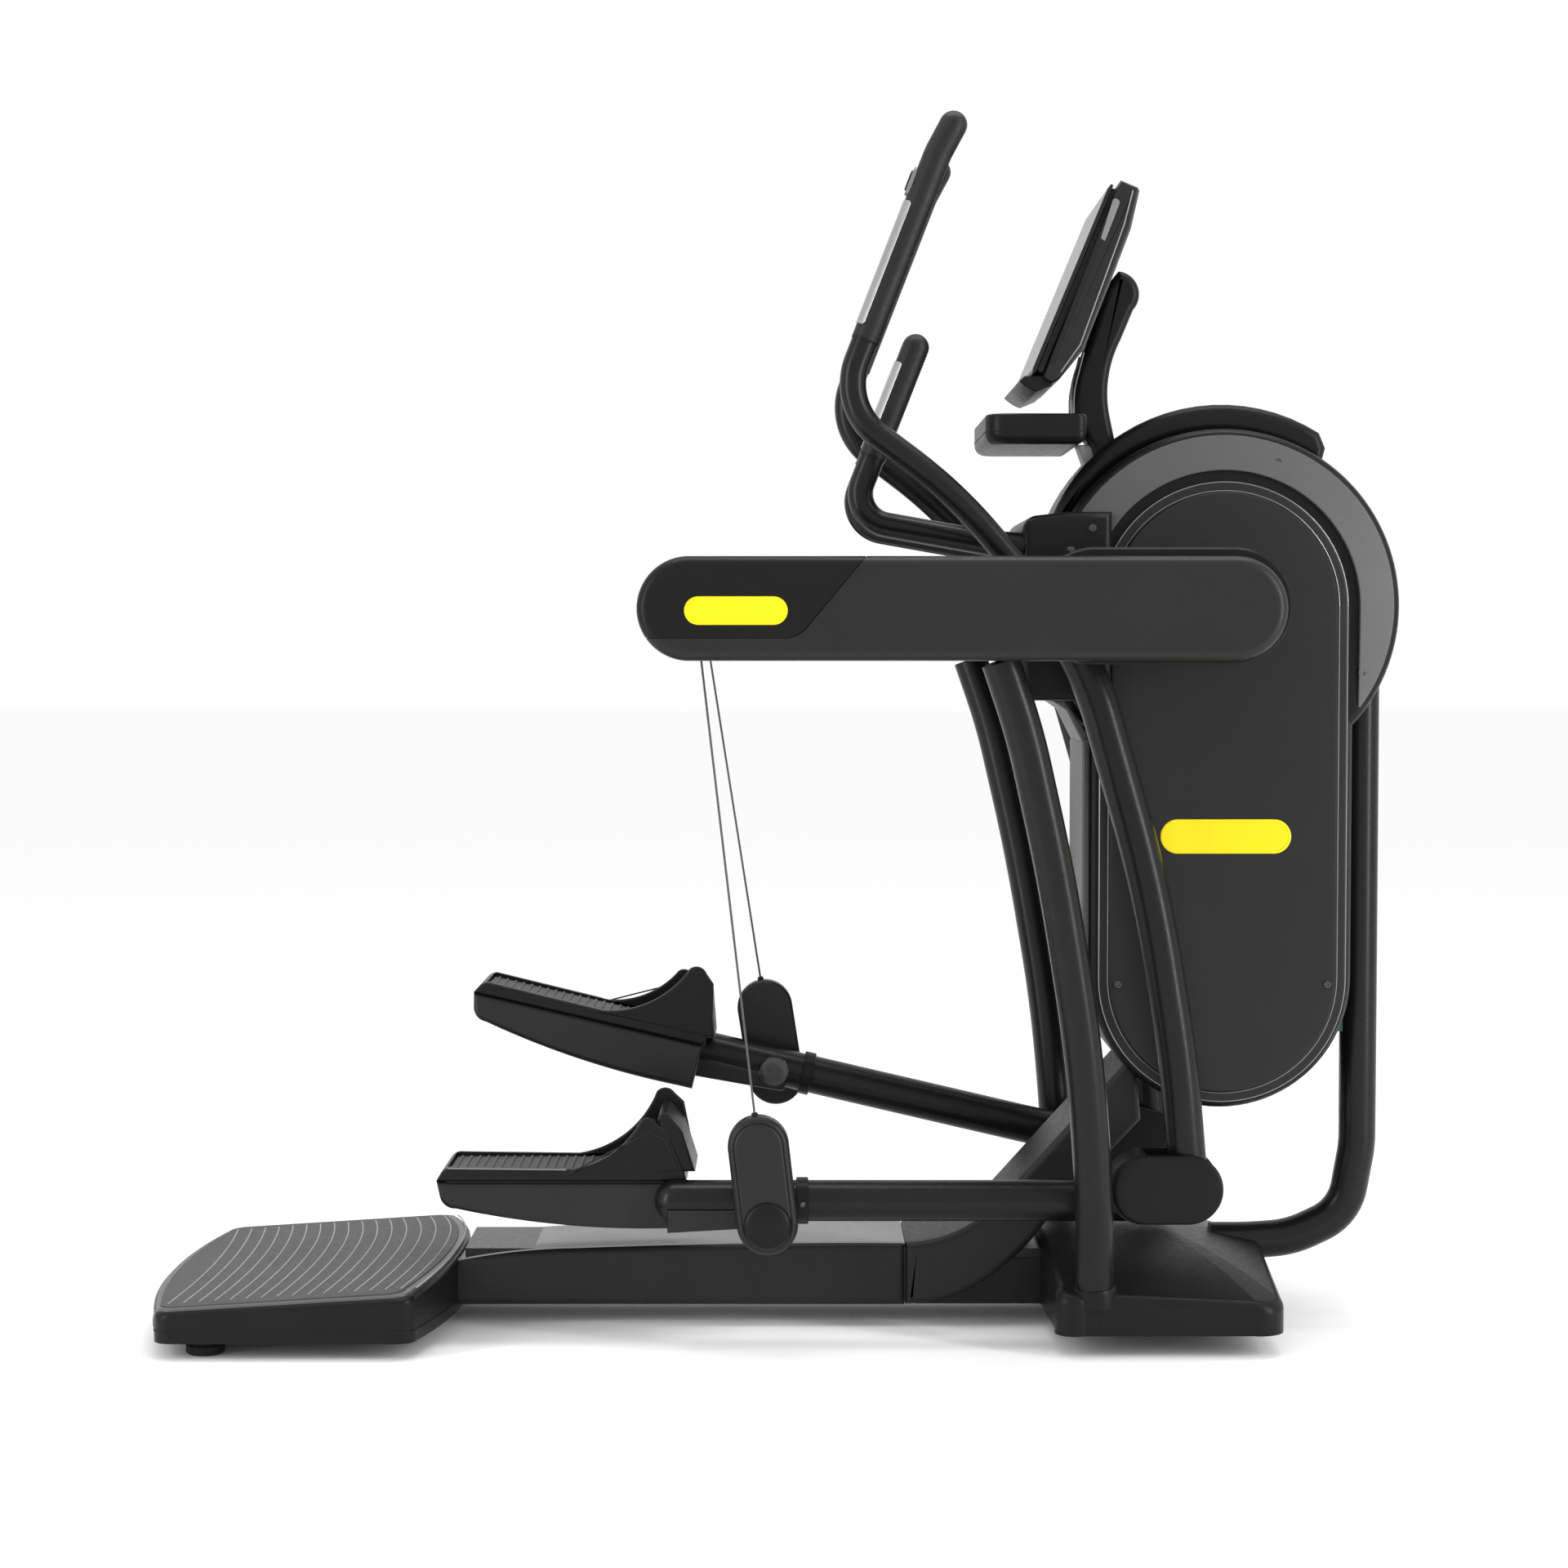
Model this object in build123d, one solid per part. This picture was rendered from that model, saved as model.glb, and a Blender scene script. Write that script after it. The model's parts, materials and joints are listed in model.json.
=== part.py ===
from build123d import *
import os
from math import atan2, cos, degrees, radians, sin, tan

# Suspended-pedal elliptical trainer. Millimetres, +X is where the user faces, +Y is the
# user's left, +Z is up, and the origin is on the floor under the middle of the machine.
# Right-hand pieces are drawn at negative Y and the left-hand ones are their mirror images.

# ---- driving dimensions -------------------------------------------------------------
FRONT_X, REAR_X = 892.0, -892.0
HUB_X, HUB_Z = 639.0, 1039.0        # centre of the round flywheel housing
DISC_R, CAP_R = FRONT_X - HUB_X, 289.0
LOWER_Z = 507.0                     # centre of the housing's rounded foot
BODY_R, PANEL_R, PLATEAU_R = 187.0, 177.0, 161.0
TRIM_OUT, TRIM_IN = 237.0, 190.0    # grey ring plate round the panel
HALF_HOUSING = 110.0                # half width of the housing shells
SHAFT_R, AXLE_R, PIN_R = 15.0, 10.0, 9.0
WALL = 3.5

PIVOT_X, PIVOT_Z = 388.0, 1032.0    # axis of the swinging levers
FOOT_X, FOOT_Z = 577.0, 225.0       # axis between lever and pedal arm
LEVER_Y, LEVER_R, HANDLE_R, GRIP_R = 209.0, 27.5, 17.0, 19.5
ARM_Y, ARM_Z, ARM_R = 205.0, 204.0, 28.8
ARM_RAISED = 13.13                  # degrees that the left pedal arm stands raised
PIN_X, PIN_Z = -12.0, 199.0         # link pin on the pedal arm
CABLE_Y, CABLE_R = 259.0, 1.6
EXIT_X, EXIT_Z = -101.0, 962.0      # where the cable enters the beam
PULLEY_X, PULLEY_Z, PULLEY_R = -35.0, 1040.0, 46.0

BEAM_REAR, BEAM_FRONT, BEAM_Z, BEAM_R = -184.0, 686.0, 1032.0, 70.0
BEAM_OUT, BEAM_MID, BEAM_IN, POD_IN = 400.0, 346.0, 290.0, 242.0
POD_FRONT = 42.0
LEG_R, LEG_FOOT_Y, LEG_TOP_Y = 26.5, 270.0, 335.0

SPINE_HALF, SPINE_LOW, SPINE_TOP = 90.0, 30.0, 121.0
STEP_HALF, STEP_REAR_SIDE, STEP_FRONT_SIDE, STEP_FRONT = 310.0, -857.0, -494.0, -454.0
BASE_HALF, BASE_LOW = 297.0, 32.0
BAR_Y, BAR_R = 125.0, 18.0          # fixed handlebar
CONSOLE_HALF = 165.0
FLYWHEEL_R, HUB_PULLEY_R = 170.0, 26.0
DRIVE_Z, DRIVE_R, DRIVE_SHAFT_R = 640.0, 105.0, 17.0
MOUNT_X, MOUNT_R = 600.0, 45.0      # stubs that carry the beams
FIT, GAP = 0.05, 0.4                # running fit and general gap

os.makedirs("parts", exist_ok=True)


# ---- helpers ------------------------------------------------------------------------
def prism(face, y_low, y_high):
    """A face drawn with X and Z, pulled along Y."""
    return extrude(Plane.XZ.offset(-y_low) * face, amount=-(y_high - y_low))


def slot_face(x_low, x_high, z, r):
    return Pos((x_low + x_high) / 2, z) * SlotOverall(x_high - x_low, 2 * r)


def upright_slot(x, z_low, z_high, r):
    """Stadium standing upright, from centre to centre."""
    return Pos(x, (z_low + z_high) / 2) * Rot(Z=90) * SlotCenterToCenter(z_high - z_low, r * 2)


def polygon(*points):
    return make_face(Polyline(*points, close=True))


def curved_face(*points):
    """Closed outline through points; a list of three points in a row is one arc."""
    edges, last = [], points[0]
    for step in points[1:]:
        if isinstance(step, list):
            edges.append(ThreePointArc(last, step[0], step[1]))
            last = step[1]
        else:
            edges.append(Line(last, step))
            last = step
    return make_face(Curve() + edges)


def block(x0, x1, y0, y1, z0, z1):
    return Pos((x0 + x1) / 2, (y0 + y1) / 2, (z0 + z1) / 2) * Box(x1 - x0, y1 - y0, z1 - z0)


def rod(x, z, r, y0, y1):
    """Round bar along Y."""
    return prism(Pos(x, z) * Circle(r), min(y0, y1), max(y0, y1))


def bent(points, bend=None):
    """Straight runs joined by tangent arcs, each as large as its runs allow."""
    spots = [Vector(*p) for p in points]
    radii = []
    for before, here, after in zip(spots, spots[1:], spots[2:]):
        run_in, run_out = here - before, after - here
        turn = radians(run_in.get_angle(run_out))
        radii.append(0.45 * min(run_in.length, run_out.length) / tan(turn / 2))
    if bend:
        radii = [min(limit, r) for limit, r in zip(bend, radii)]
    return FilletPolyline(*spots, radius=radii)


def tube(path, r, wall):
    ring = Circle(r) - Circle(r - wall)
    return sweep(Plane(origin=path @ 0, z_dir=path % 0) * ring, path=path)


def bar(path, r):
    return sweep(Plane(origin=path @ 0, z_dir=path % 0) * Circle(r), path=path)


def at_y(points, y):
    return [(x, y, z) for x, z in points]


def left(shape):
    return mirror(shape, about=Plane.XZ)


def raised(shape):
    """A right-hand pedal piece, mirrored to the left and turned up about the lower pivot."""
    return left(shape).rotate(Axis((FOOT_X, 0, FOOT_Z), (0, 1, 0)), ARM_RAISED)


def edges_at_y(shape, y):
    return shape.edges().filter_by_position(Axis.Y, y - 0.01, y + 0.01)


def edges_at_z(shape, z):
    return shape.edges().filter_by_position(Axis.Z, z - 0.01, z + 0.01)


# ---- floor frame --------------------------------------------------------------------
def base_cover():
    side = curved_face((384, BASE_LOW), (388, 118), [(520, 134), (640, 128)],
                       [(690, 110), (712, BASE_LOW)], (384, BASE_LOW))
    body = prism(side, -BASE_HALF, BASE_HALF)
    plan = curved_face((384, 0), (384, -80), (418, -255), [(430, -286), (462, -BASE_HALF)],
                       (660, -BASE_HALF), [(695, -288), (706, -255)], (712, 0),
                       (706, 255), [(695, 288), (660, BASE_HALF)], (462, BASE_HALF),
                       [(430, 286), (418, 255)], (384, 80), (384, 0))
    crown = curved_face((-BASE_HALF, BASE_LOW), (-BASE_HALF, 84), [(0, 134), (BASE_HALF, 84)],
                        (BASE_HALF, BASE_LOW), (-BASE_HALF, BASE_LOW))
    whole = body & extrude(plan, amount=140) & extrude(Plane.YZ * crown, amount=720)
    hollow = block(394, 700, -286, 286, BASE_LOW - 1, 76)
    stand = block(645.6, 691, -18.4, 18.4, 70, 91)
    return (whole - hollow - stand - block(380, 401, -83, 83, 0, 113) - tail_space(GAP)
            - leg_socket(1) - leg_socket(-1))


def leg_socket(side):
    """Clearance for a leg tube's foot, which stands in the base cover."""
    foot = leg_points(side)[-2:]
    return bar(Polyline(*[Vector(*p) for p in foot]), LEG_R + GAP)


def base_crossbar():
    """Flat steel box across the machine, with a stand for the front tube."""
    cross = block(400, 690, -280, 280, BASE_LOW + 4, BASE_LOW + 40)
    cross = cross - block(404, 686, -281, 281, BASE_LOW + 8, BASE_LOW + 36)
    return cross + block(646, 690, -18, 18, BASE_LOW + 40, 90) - tail_space(0)


def rubber_feet():
    feet = [Pos(x, y, 0) * Cylinder(26, BASE_LOW + 3.7, align=(Align.CENTER, Align.CENTER, Align.MIN))
            for x in (500, 610) for y in (-125, 125)]
    feet += [Pos(-792, y, 0) * Cylinder(27, 24.7, align=(Align.CENTER, Align.CENTER, Align.MIN))
             for y in (-255, 255)]
    return Compound(children=[chamfer(f.edges().sort_by(Axis.Z)[0], 3) for f in feet])


def spine_tube():
    """Wide steel tube along the floor, with a lower tongue under the rear step."""
    body = block(-448, 400, -82, 82, SPINE_LOW + 4, 112)
    body = body - block(393, 401, -83, 83, 72, 113)
    body = body + block(-640, -448, -70, 70, SPINE_LOW + 4, 74)
    return (body - block(-450, 389, -77, 77, SPINE_LOW + 9, 107)
            - block(-641, -440, -65, 65, SPINE_LOW + 9, 69))


def spine_cover():
    side = curved_face((-476, SPINE_LOW), (-476, 92), [(-380, 108), (-285, 114)],
                       [(-60, 120), (187.5, SPINE_TOP)], (187.5, SPINE_LOW), (-476, SPINE_LOW))
    body = prism(side, -SPINE_HALF, SPINE_HALF)
    body = fillet(edges_at_y(body, -SPINE_HALF).filter_by_position(Axis.Z, 91, 122)
                  + edges_at_y(body, SPINE_HALF).filter_by_position(Axis.Z, 91, 122), 6)
    return body - block(-480, 190, -82.4, 82.4, 0, 112.4) - step_outline(GAP, 200)


def ramp_face():
    return curved_face((187.9, 31), [(262, 44), (328, 84)], [(366, 119), (400, 163)],
                       (528, 300), (519, 398), (328, 187), [(262, 137), (187.9, SPINE_TOP)],
                       (187.9, 31))


def ramp_cover():
    body = prism(ramp_face(), -SPINE_HALF, SPINE_HALF)
    body = body - block(180, 396, -82.4, 82.4, 0, 112.4) - base_cover_space()
    inner = curved_face((262, 118), (330, 118), (400, 180), (520, 306), (512, 376), (334, 180),
                        (262, 118))
    body = body - prism(inner, -84, 84)
    return body - prism(upright_slot(HUB_X, LOWER_Z, HUB_Z, BODY_R + GAP), -120, 120)


def base_cover_space():
    return block(383.6, 720, -BASE_HALF, BASE_HALF, 0, 135)


def ramp_strut():
    """Steel strut that carries the housing's side frames, inside the ramp cover."""
    strut = polygon((276, 121), (324, 121), (404, 193), (512, 311), (507, 364), (338, 176))
    return prism(strut, -40, 40) - prism(polygon((290, 124), (322, 124), (400, 196), (506, 312),
                                                 (503, 354), (340, 172)), -36, 36)


def step_outline(grow, height):
    """Plan outline of the rear step, with bulging front and rear edges."""
    half = STEP_HALF + grow
    rear, front = STEP_REAR_SIDE, STEP_FRONT_SIDE + grow
    plan = curved_face((rear + 26, -half), (front - 26, -half),
                       [(front - 7, -half + 8), (front, -half + 26)],
                       [(STEP_FRONT + grow, 0), (front, half - 26)],
                       [(front - 7, half - 8), (front - 26, half)], (rear + 26, half),
                       [(rear + 7, half - 8), (rear, half - 26)],
                       [(REAR_X - grow, 0), (rear, -half + 26)],
                       [(rear + 7, -half + 8), (rear + 26, -half)])
    return extrude(plan, amount=height)


def step_space(low_front, low_rear, thick):
    """Slab that slopes up towards the front, to cut the step's top from."""
    side = polygon((REAR_X - 5, low_rear), (STEP_FRONT + 5, low_front),
                   (STEP_FRONT + 5, low_front + thick), (REAR_X - 5, low_rear + thick))
    return prism(side, -STEP_HALF - 5, STEP_HALF + 5)


def step_base():
    body = step_outline(0, 200) & (step_space(24, 24, 200) - step_space(88, 62, 200))
    inner = step_outline(-5, 200) & step_space(20, 20, 200) - step_space(72, 46, 200)
    return body - inner - block(-660, -440, -83, 83, 0, 112.5)


def step_deck():
    body = step_outline(-1.5, 200) & step_space(88.3, 62.3, 12)
    top = body.faces().sort_by(Axis.Z)[-1]
    return fillet(top.edges(), 4)


# ---- standing frame -----------------------------------------------------------------
def leg_points(side):
    rise = (LEG_TOP_Y - LEG_FOOT_Y) / (961.6 - 40)
    flat = [(306, 961.6), (340, 862), (386, 660), (424, 430), (440, 250), (444, 70)]
    return [(x, side * (LEG_FOOT_Y + (z - 40) * rise), z) for x, z in flat]


def leg_tube(side):
    body = tube(bent(leg_points(side)), LEG_R, 3)
    return body - block(0, 700, -500, 500, 961.6, 1100) - block(400, 500, -400, 400, 0, 76.4)


def tail_points():
    return [(856, 1000), (856, 250), (838, 150), (760, 113), (700, 108), (640, 108)]


def tail_space(grow):
    return bar(bent(at_y(tail_points(), 0), [190, 130, 300, 900]), 27 + grow)


def tail_tube():
    return tube(bent(at_y(tail_points(), 0), [190, 130, 300, 900]), 27, 3)


def side_plates():
    """Two steel plates inside the housing, which carry everything that turns."""
    outline = (upright_slot(HUB_X, LOWER_Z, HUB_Z, 150) - Pos(HUB_X, HUB_Z) * Circle(20.4)
               - Pos(HUB_X, DRIVE_Z) * Circle(DRIVE_SHAFT_R + FIT))
    window = Pos(HUB_X, 820) * RectangleRounded(150, 120, 30)
    tab = Pos(445, PIVOT_Z) * Rectangle(164, 90)
    plate = prism((outline + tab) - window - Pos(PIVOT_X, PIVOT_Z) * Circle(SHAFT_R + GAP), -72, -66)
    return Compound(children=[plate, left(plate)])


# ---- housing ------------------------------------------------------------------------
def housing_outline(shrink):
    return (Pos(HUB_X, HUB_Z) * Circle(DISC_R - shrink)
            + upright_slot(HUB_X, LOWER_Z, HUB_Z, BODY_R - shrink))


def housing_shell():
    body = prism(housing_outline(0), -HALF_HOUSING, -0.2)
    body = fillet(edges_at_y(body, -HALF_HOUSING), 12)
    inner = prism(housing_outline(WALL), -HALF_HOUSING + WALL, 0)
    return body - fillet(edges_at_y(inner, -HALF_HOUSING + WALL), 9) - housing_holes()


def housing_holes():
    tail = Pos(856, 0, 880) * Cylinder(27 + GAP, 300)
    nose = prism(nose_face(GAP), -150 - GAP, 150 + GAP)
    mount = rod(MOUNT_X, BEAM_Z, MOUNT_R + GAP, -200, 0)
    strut = block(440, 520, -40.4, 40.4, 300, 372)
    inlet = block(800, 830, -25.4, 25.4, 420, 460)
    return tail + nose + mount + strut + inlet


def hub_spot(r, angle):
    """Point at a distance and an angle from the hub."""
    return HUB_X + r * cos(radians(angle)), HUB_Z + r * sin(radians(angle))


def cap_face():
    """Band of the top cap: thick over the top, ending in a step towards the front."""
    small = DISC_R + GAP
    return curved_face(hub_spot(CAP_R, 60), [hub_spot(CAP_R, 105), hub_spot(CAP_R - 16, 152)],
                       hub_spot(small, 152), [hub_spot(small, 105), hub_spot(small, 54)],
                       hub_spot(CAP_R - 14, 56), hub_spot(CAP_R, 60))


def housing_top_cap():
    body = prism(cap_face(), -62, 62)
    body = body - prism(cap_hollow(), -57, 57)
    return body - prism(nose_face(GAP), -151, 151) - mast_space()


def cap_hollow():
    big, small = CAP_R - 5, DISC_R + 1
    return curved_face(hub_spot(big, 62), [hub_spot(big, 105), hub_spot(CAP_R - 24, 148)],
                       hub_spot(small, 148), [hub_spot(small, 105), hub_spot(small, 62)],
                       hub_spot(big, 62))


def mast_space():
    return block(430, 500, -35.4, 35.4, 1225, 1330)


def side_panel():
    ring = prism(upright_slot(HUB_X, LOWER_Z, HUB_Z, PANEL_R), -118, -HALF_HOUSING - 0.3)
    top = prism(upright_slot(HUB_X, LOWER_Z, HUB_Z, PLATEAU_R), -127, -118)
    body = fillet(edges_at_y(ring + top, -127), 5)
    hollow = prism(upright_slot(HUB_X, LOWER_Z, HUB_Z, PLATEAU_R - 5), -123, -HALF_HOUSING)
    return body - hollow - rod(MOUNT_X, BEAM_Z, MOUNT_R + GAP, -200, 0)


def accent_trim():
    """Grey ring plate round the panel on the round part of the housing."""
    hub = Pos(HUB_X, HUB_Z)
    upper = hub * (Circle(TRIM_OUT) - Circle(TRIM_IN)) & (Pos(HUB_X, HUB_Z + 150) * Rectangle(600, 300))
    front = hub * Circle(TRIM_OUT) & (Pos(HUB_X + 230, HUB_Z - 75) * Rectangle(76, 150))
    plate = prism(upper + front, -HALF_HOUSING - 3, -HALF_HOUSING - 0.3)
    return plate - prism(nose_face(1), -151, 0)


def screw_spots():
    """Place and seat of each screw: X, Z and distance from the middle plane."""
    return [(714, 1243.5, 113), (448, 1148.5, 150), (836, 945, 113), (490, 500, 127), (788, 500, 127)]


def housing_screws():
    """Button-head screws, in the housing's panels on both sides."""
    heads = []
    for x, z, seat in screw_spots():
        head = rod(x, z, 5.5, -seat - 3, -seat)
        heads.append(head - rod(x, z, 2.2, -seat - 4, -seat - 1))
    return Compound(children=heads + [left(h) for h in heads])


def housing_rear_cover():
    side = curved_face((451.6, 470), (451.6, 850), (446, 850), [(441, 845), (440, 836)],
                       (440, 486), [(441, 475), (446, 470)], (451.6, 470))
    return prism(side, -96, 96)


def nose_face(grow):
    return curved_face((352 - grow, 905 - grow), (345 - grow, 1040), (350 - grow, 1140),
                       [(356 - grow, 1160 + grow), (372, 1167 + grow)], (416, 1172 + grow),
                       (470, 1172 + grow), (470, 905 - grow), (352 - grow, 905 - grow))


def pivot_housing():
    """Nose of the housing, which carries the lever shaft and the fixed handlebars."""
    body = prism(nose_face(0), -150, 150)
    rim = edges_at_y(body, -150) + edges_at_y(body, 150)
    body = chamfer(rim.filter_by_position(Axis.X, 300, 460), 6)
    inner = polygon((358, 911), (351, 1040), (357, 1140), (374, 1161), (475, 1166), (475, 911))
    body = body - prism(inner, -144, 144)
    body = body - prism(upright_slot(HUB_X, LOWER_Z, HUB_Z, PANEL_R + GAP), -160, 160)
    body = body - rod(PIVOT_X, PIVOT_Z, SHAFT_R + GAP, -160, 160)
    for side in (-1, 1):
        body = body - bar(Line((300, side * BAR_Y, 1128.4), (372, side * BAR_Y, 1115.7)), BAR_R + GAP)
    return body


def lever_shaft():
    return rod(PIVOT_X, PIVOT_Z, SHAFT_R, -343, 343)


# ---- beams --------------------------------------------------------------------------
def beam_shell_whole():
    face = slot_face(BEAM_REAR, BEAM_FRONT, BEAM_Z, BEAM_R)
    body = fillet(edges_at_y(prism(face, -BEAM_OUT, -BEAM_MID), -BEAM_OUT), 14)
    inner = slot_face(BEAM_REAR + 4, BEAM_FRONT - 4, BEAM_Z, BEAM_R - 4)
    return body - prism(inner, -BEAM_OUT + 5, -BEAM_MID + 1)


def cap_region(shrink):
    """Area of the separate rear cap: above a lengthwise joint, behind a slanted one."""
    return curved_face((146 - shrink, 1130), (42 - shrink, 1006 + shrink),
                       [(30, 997 + shrink), (10, 993 + shrink)], (-220, 993 + shrink),
                       (-220, 1130), (146 - shrink, 1130))


def beam_cover():
    return beam_shell_whole() - prism(cap_region(0), -BEAM_OUT - 1, -BEAM_MID + 1)


def beam_rear_cap():
    return beam_shell_whole() & prism(cap_region(0.8), -BEAM_OUT - 1, -BEAM_MID + 1)


def beam_inner():
    outer = slot_face(BEAM_REAR, BEAM_FRONT, BEAM_Z, BEAM_R)
    body = prism(outer, -BEAM_MID + 0.3, -BEAM_IN)
    body = body + prism(slot_face(352, 699, BEAM_Z + 4, 79), -BEAM_MID + 0.3, -BEAM_IN)
    pod = prism(slot_face(BEAM_REAR, POD_FRONT, BEAM_Z, BEAM_R), -BEAM_IN, -POD_IN)
    body = body + fillet(edges_at_y(pod, -POD_IN), 12)
    inner = slot_face(BEAM_REAR + 4, BEAM_FRONT - 4, BEAM_Z, BEAM_R - 4)
    body = body - prism(inner, -BEAM_MID - 1, -BEAM_IN - 4)
    pod_inner = slot_face(BEAM_REAR + 4, POD_FRONT - 4, BEAM_Z, BEAM_R - 4)
    body = body - prism(pod_inner, -BEAM_MID, -POD_IN - 4)
    body = body - rod(PIVOT_X, PIVOT_Z, SHAFT_R + GAP, -BEAM_MID, -200)
    mouth = block(EXIT_X - 42, EXIT_X + 42, -CABLE_Y - 9, -CABLE_Y + 9, 950, 970)
    return body - mouth - rod(MOUNT_X, BEAM_Z, MOUNT_R - 15 + GAP, -BEAM_MID, -200)


def beam_mounts():
    """Flanged stubs that carry the beams' front ends from the side plates."""
    stub = rod(MOUNT_X, BEAM_Z, MOUNT_R, -BEAM_IN + 0.3, -72)
    stub = stub + rod(MOUNT_X, BEAM_Z, MOUNT_R - 15, -330, -BEAM_IN)
    stub = stub - rod(MOUNT_X, BEAM_Z, MOUNT_R - 21, -331, -71)
    return Compound(children=[stub, left(stub)])


def pulley_axles():
    axle = rod(PULLEY_X, PULLEY_Z, 6, -BEAM_MID + 4, -POD_IN - 4)
    return Compound(children=[axle, left(axle)])


def cable_pulley():
    """Grooved wheel that leads the cable forward inside the beam."""
    wheel = (rod(PULLEY_X, PULLEY_Z, PULLEY_R, -CABLE_Y - 7, -CABLE_Y + 7)
             - rod(PULLEY_X, PULLEY_Z, 6 + FIT, -300, -200))
    groove = Pos(PULLEY_X, -CABLE_Y, PULLEY_Z) * Rot(X=90) * Torus(PULLEY_R + 1, 5)
    return wheel - groove


# ---- handles and console ------------------------------------------------------------
FIXED_TIP = (199, 1404)


def fixed_handlebars():
    path = bent(at_y([FIXED_TIP, (104.3, 1163.4), (366, 1116.8)], -BAR_Y), [45])
    end = Pos(FIXED_TIP[0], -BAR_Y, FIXED_TIP[1]) * Sphere(BAR_R) - bar(path, BAR_R)
    body = tube(path, BAR_R, 2.5) + end
    return Compound(children=[body, left(body)])


def strip(start, stop, r, width):
    """Thin steel sensor strip, wrapped on the user's side of a grip."""
    shell = bar(Line(start, stop), r + 1.6) - bar(Line(start, stop), r + 0.05)
    mid = (Vector(*start) + Vector(*stop)) / 2
    lean = degrees(atan2(stop[0] - start[0], stop[2] - start[2]))
    keep = Pos(*mid) * Rot(Y=lean) * Pos(-r, 0, 0) * Box(r * 1.1, width, 400)
    return shell & keep


def pulse_sensors():
    one = strip((186, -BAR_Y, 1371), (144, -BAR_Y, 1264), BAR_R, 32)
    return Compound(children=[one, left(one)])


def mast_face():
    return curved_face((495, 1250), (486, 1310), [(482, 1360), (500, 1425)], (518, 1468),
                       [(522, 1508), (497, 1526)], (484, 1500), (446, 1404),
                       [(430, 1350), (440, 1262)], (495, 1250))


def console_mast():
    body = prism(mast_face(), -34, 34)
    rim = edges_at_y(body, -34) + edges_at_y(body, 34)
    body = chamfer(rim.filter_by_position(Axis.Z, 1255, 1530), 5)
    keep_out = Pos(HUB_X, 0, HUB_Z) * Rot(X=90) * Cylinder(DISC_R + GAP, 400)
    return body - keep_out - prism(console_face(GAP), -260, 260)


def console_face(grow):
    return curved_face((366 - grow, 1362), (478, 1632 + grow), (507 + grow, 1619),
                       (499 + grow, 1564), (474 + grow, 1499), (433, 1395 - grow),
                       (392, 1352 - grow), (366 - grow, 1362))


def console_body():
    body = prism(console_face(0), -CONSOLE_HALF, CONSOLE_HALF)
    rim = edges_at_y(body, -CONSOLE_HALF) + edges_at_y(body, CONSOLE_HALF)
    body = chamfer(rim, 5)
    inner = polygon((375, 1366), (480, 1620), (500, 1612), (493, 1566), (469, 1503), (430, 1402),
                    (390, 1359))
    ledge = polygon((374, 1366), (344, 1372), (336, 1362), (368, 1342), (393, 1351), (398, 1360))
    body = body - prism(inner, 8 - CONSOLE_HALF, CONSOLE_HALF - 8) + prism(ledge, -150, 150)
    return body - screen_recess(0)


def screen_recess(shrink):
    """Glass sits 3 mm deep in the sloping front of the console."""
    lean = degrees(atan2(478 - 366, 1632 - 1362))
    size = Box(6.0, 314 - 2 * shrink, 272 - 2 * shrink)
    return Pos(422, 0, 1497) * Rot(Y=lean) * size


def console_screen():
    return screen_recess(0.4) & prism(console_face(-0.1), -CONSOLE_HALF, CONSOLE_HALF)


def tray():
    body = block(298, 446, -150, 150, 1267, 1310)
    body = fillet(body.edges().filter_by(Axis.Z), 30)
    body = fillet(body.edges().group_by(Axis.Z)[0], 12)
    pocket = fillet(block(310, 424, -138, 138, 1275, 1320).edges().filter_by(Axis.Z), 20)
    neck = block(420, 447, -20, 20, 1240, 1268)
    keep_out = Pos(HUB_X, 0, HUB_Z) * Rot(X=90) * Cylinder(CAP_R + GAP, 400)
    return (body - pocket + neck) - prism(mast_grown(), -34.4, 34.4) - keep_out


def mast_grown():
    return curved_face((500, 1240), (486, 1310), (500, 1425), (484, 1500), (445.6, 1404),
                       [(429.6, 1350), (439.6, 1240)], (500, 1240))


# ---- drive --------------------------------------------------------------------------
def flywheel():
    wheel = rod(HUB_X, HUB_Z, FLYWHEEL_R, -22, 22)
    for side in (-1, 1):
        wheel = wheel - (rod(HUB_X, HUB_Z, 135, side * 9, side * 23)
                         - rod(HUB_X, HUB_Z, 45, side * 9, side * 23))
    shaft = rod(HUB_X, HUB_Z, 12, -71, 71)
    return wheel + shaft + rod(HUB_X, HUB_Z, HUB_PULLEY_R, 34, 52)


def drive_pulley():
    wheel = rod(HUB_X, DRIVE_Z, DRIVE_R, 34, 52)
    for low, high in ((33, 38), (48, 53)):
        wheel = wheel - rod(HUB_X, DRIVE_Z, DRIVE_R - 20, low, high)
    return wheel + rod(HUB_X, DRIVE_Z, 30, 30, 56) + rod(HUB_X, DRIVE_Z, DRIVE_SHAFT_R, -72, 85)


def drive_belt():
    low, high = DRIVE_R + 0.3, HUB_PULLEY_R + 0.3
    lean = (low - high) / (HUB_Z - DRIVE_Z)
    up = (1 - lean * lean) ** 0.5

    def touch(centre_z, r, side):
        """Where the belt leaves a pulley, at the front or at the rear."""
        return HUB_X + side * r * up, centre_z + r * lean

    def loop(extra):
        r1, r2 = low + extra, high + extra
        return curved_face(touch(DRIVE_Z, r1, -1), [(HUB_X, DRIVE_Z - r1), touch(DRIVE_Z, r1, 1)],
                           touch(HUB_Z, r2, 1), [(HUB_X, HUB_Z + r2), touch(HUB_Z, r2, -1)],
                           touch(DRIVE_Z, r1, -1))
    return prism(loop(2.5) - loop(0), 36, 50)


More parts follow.
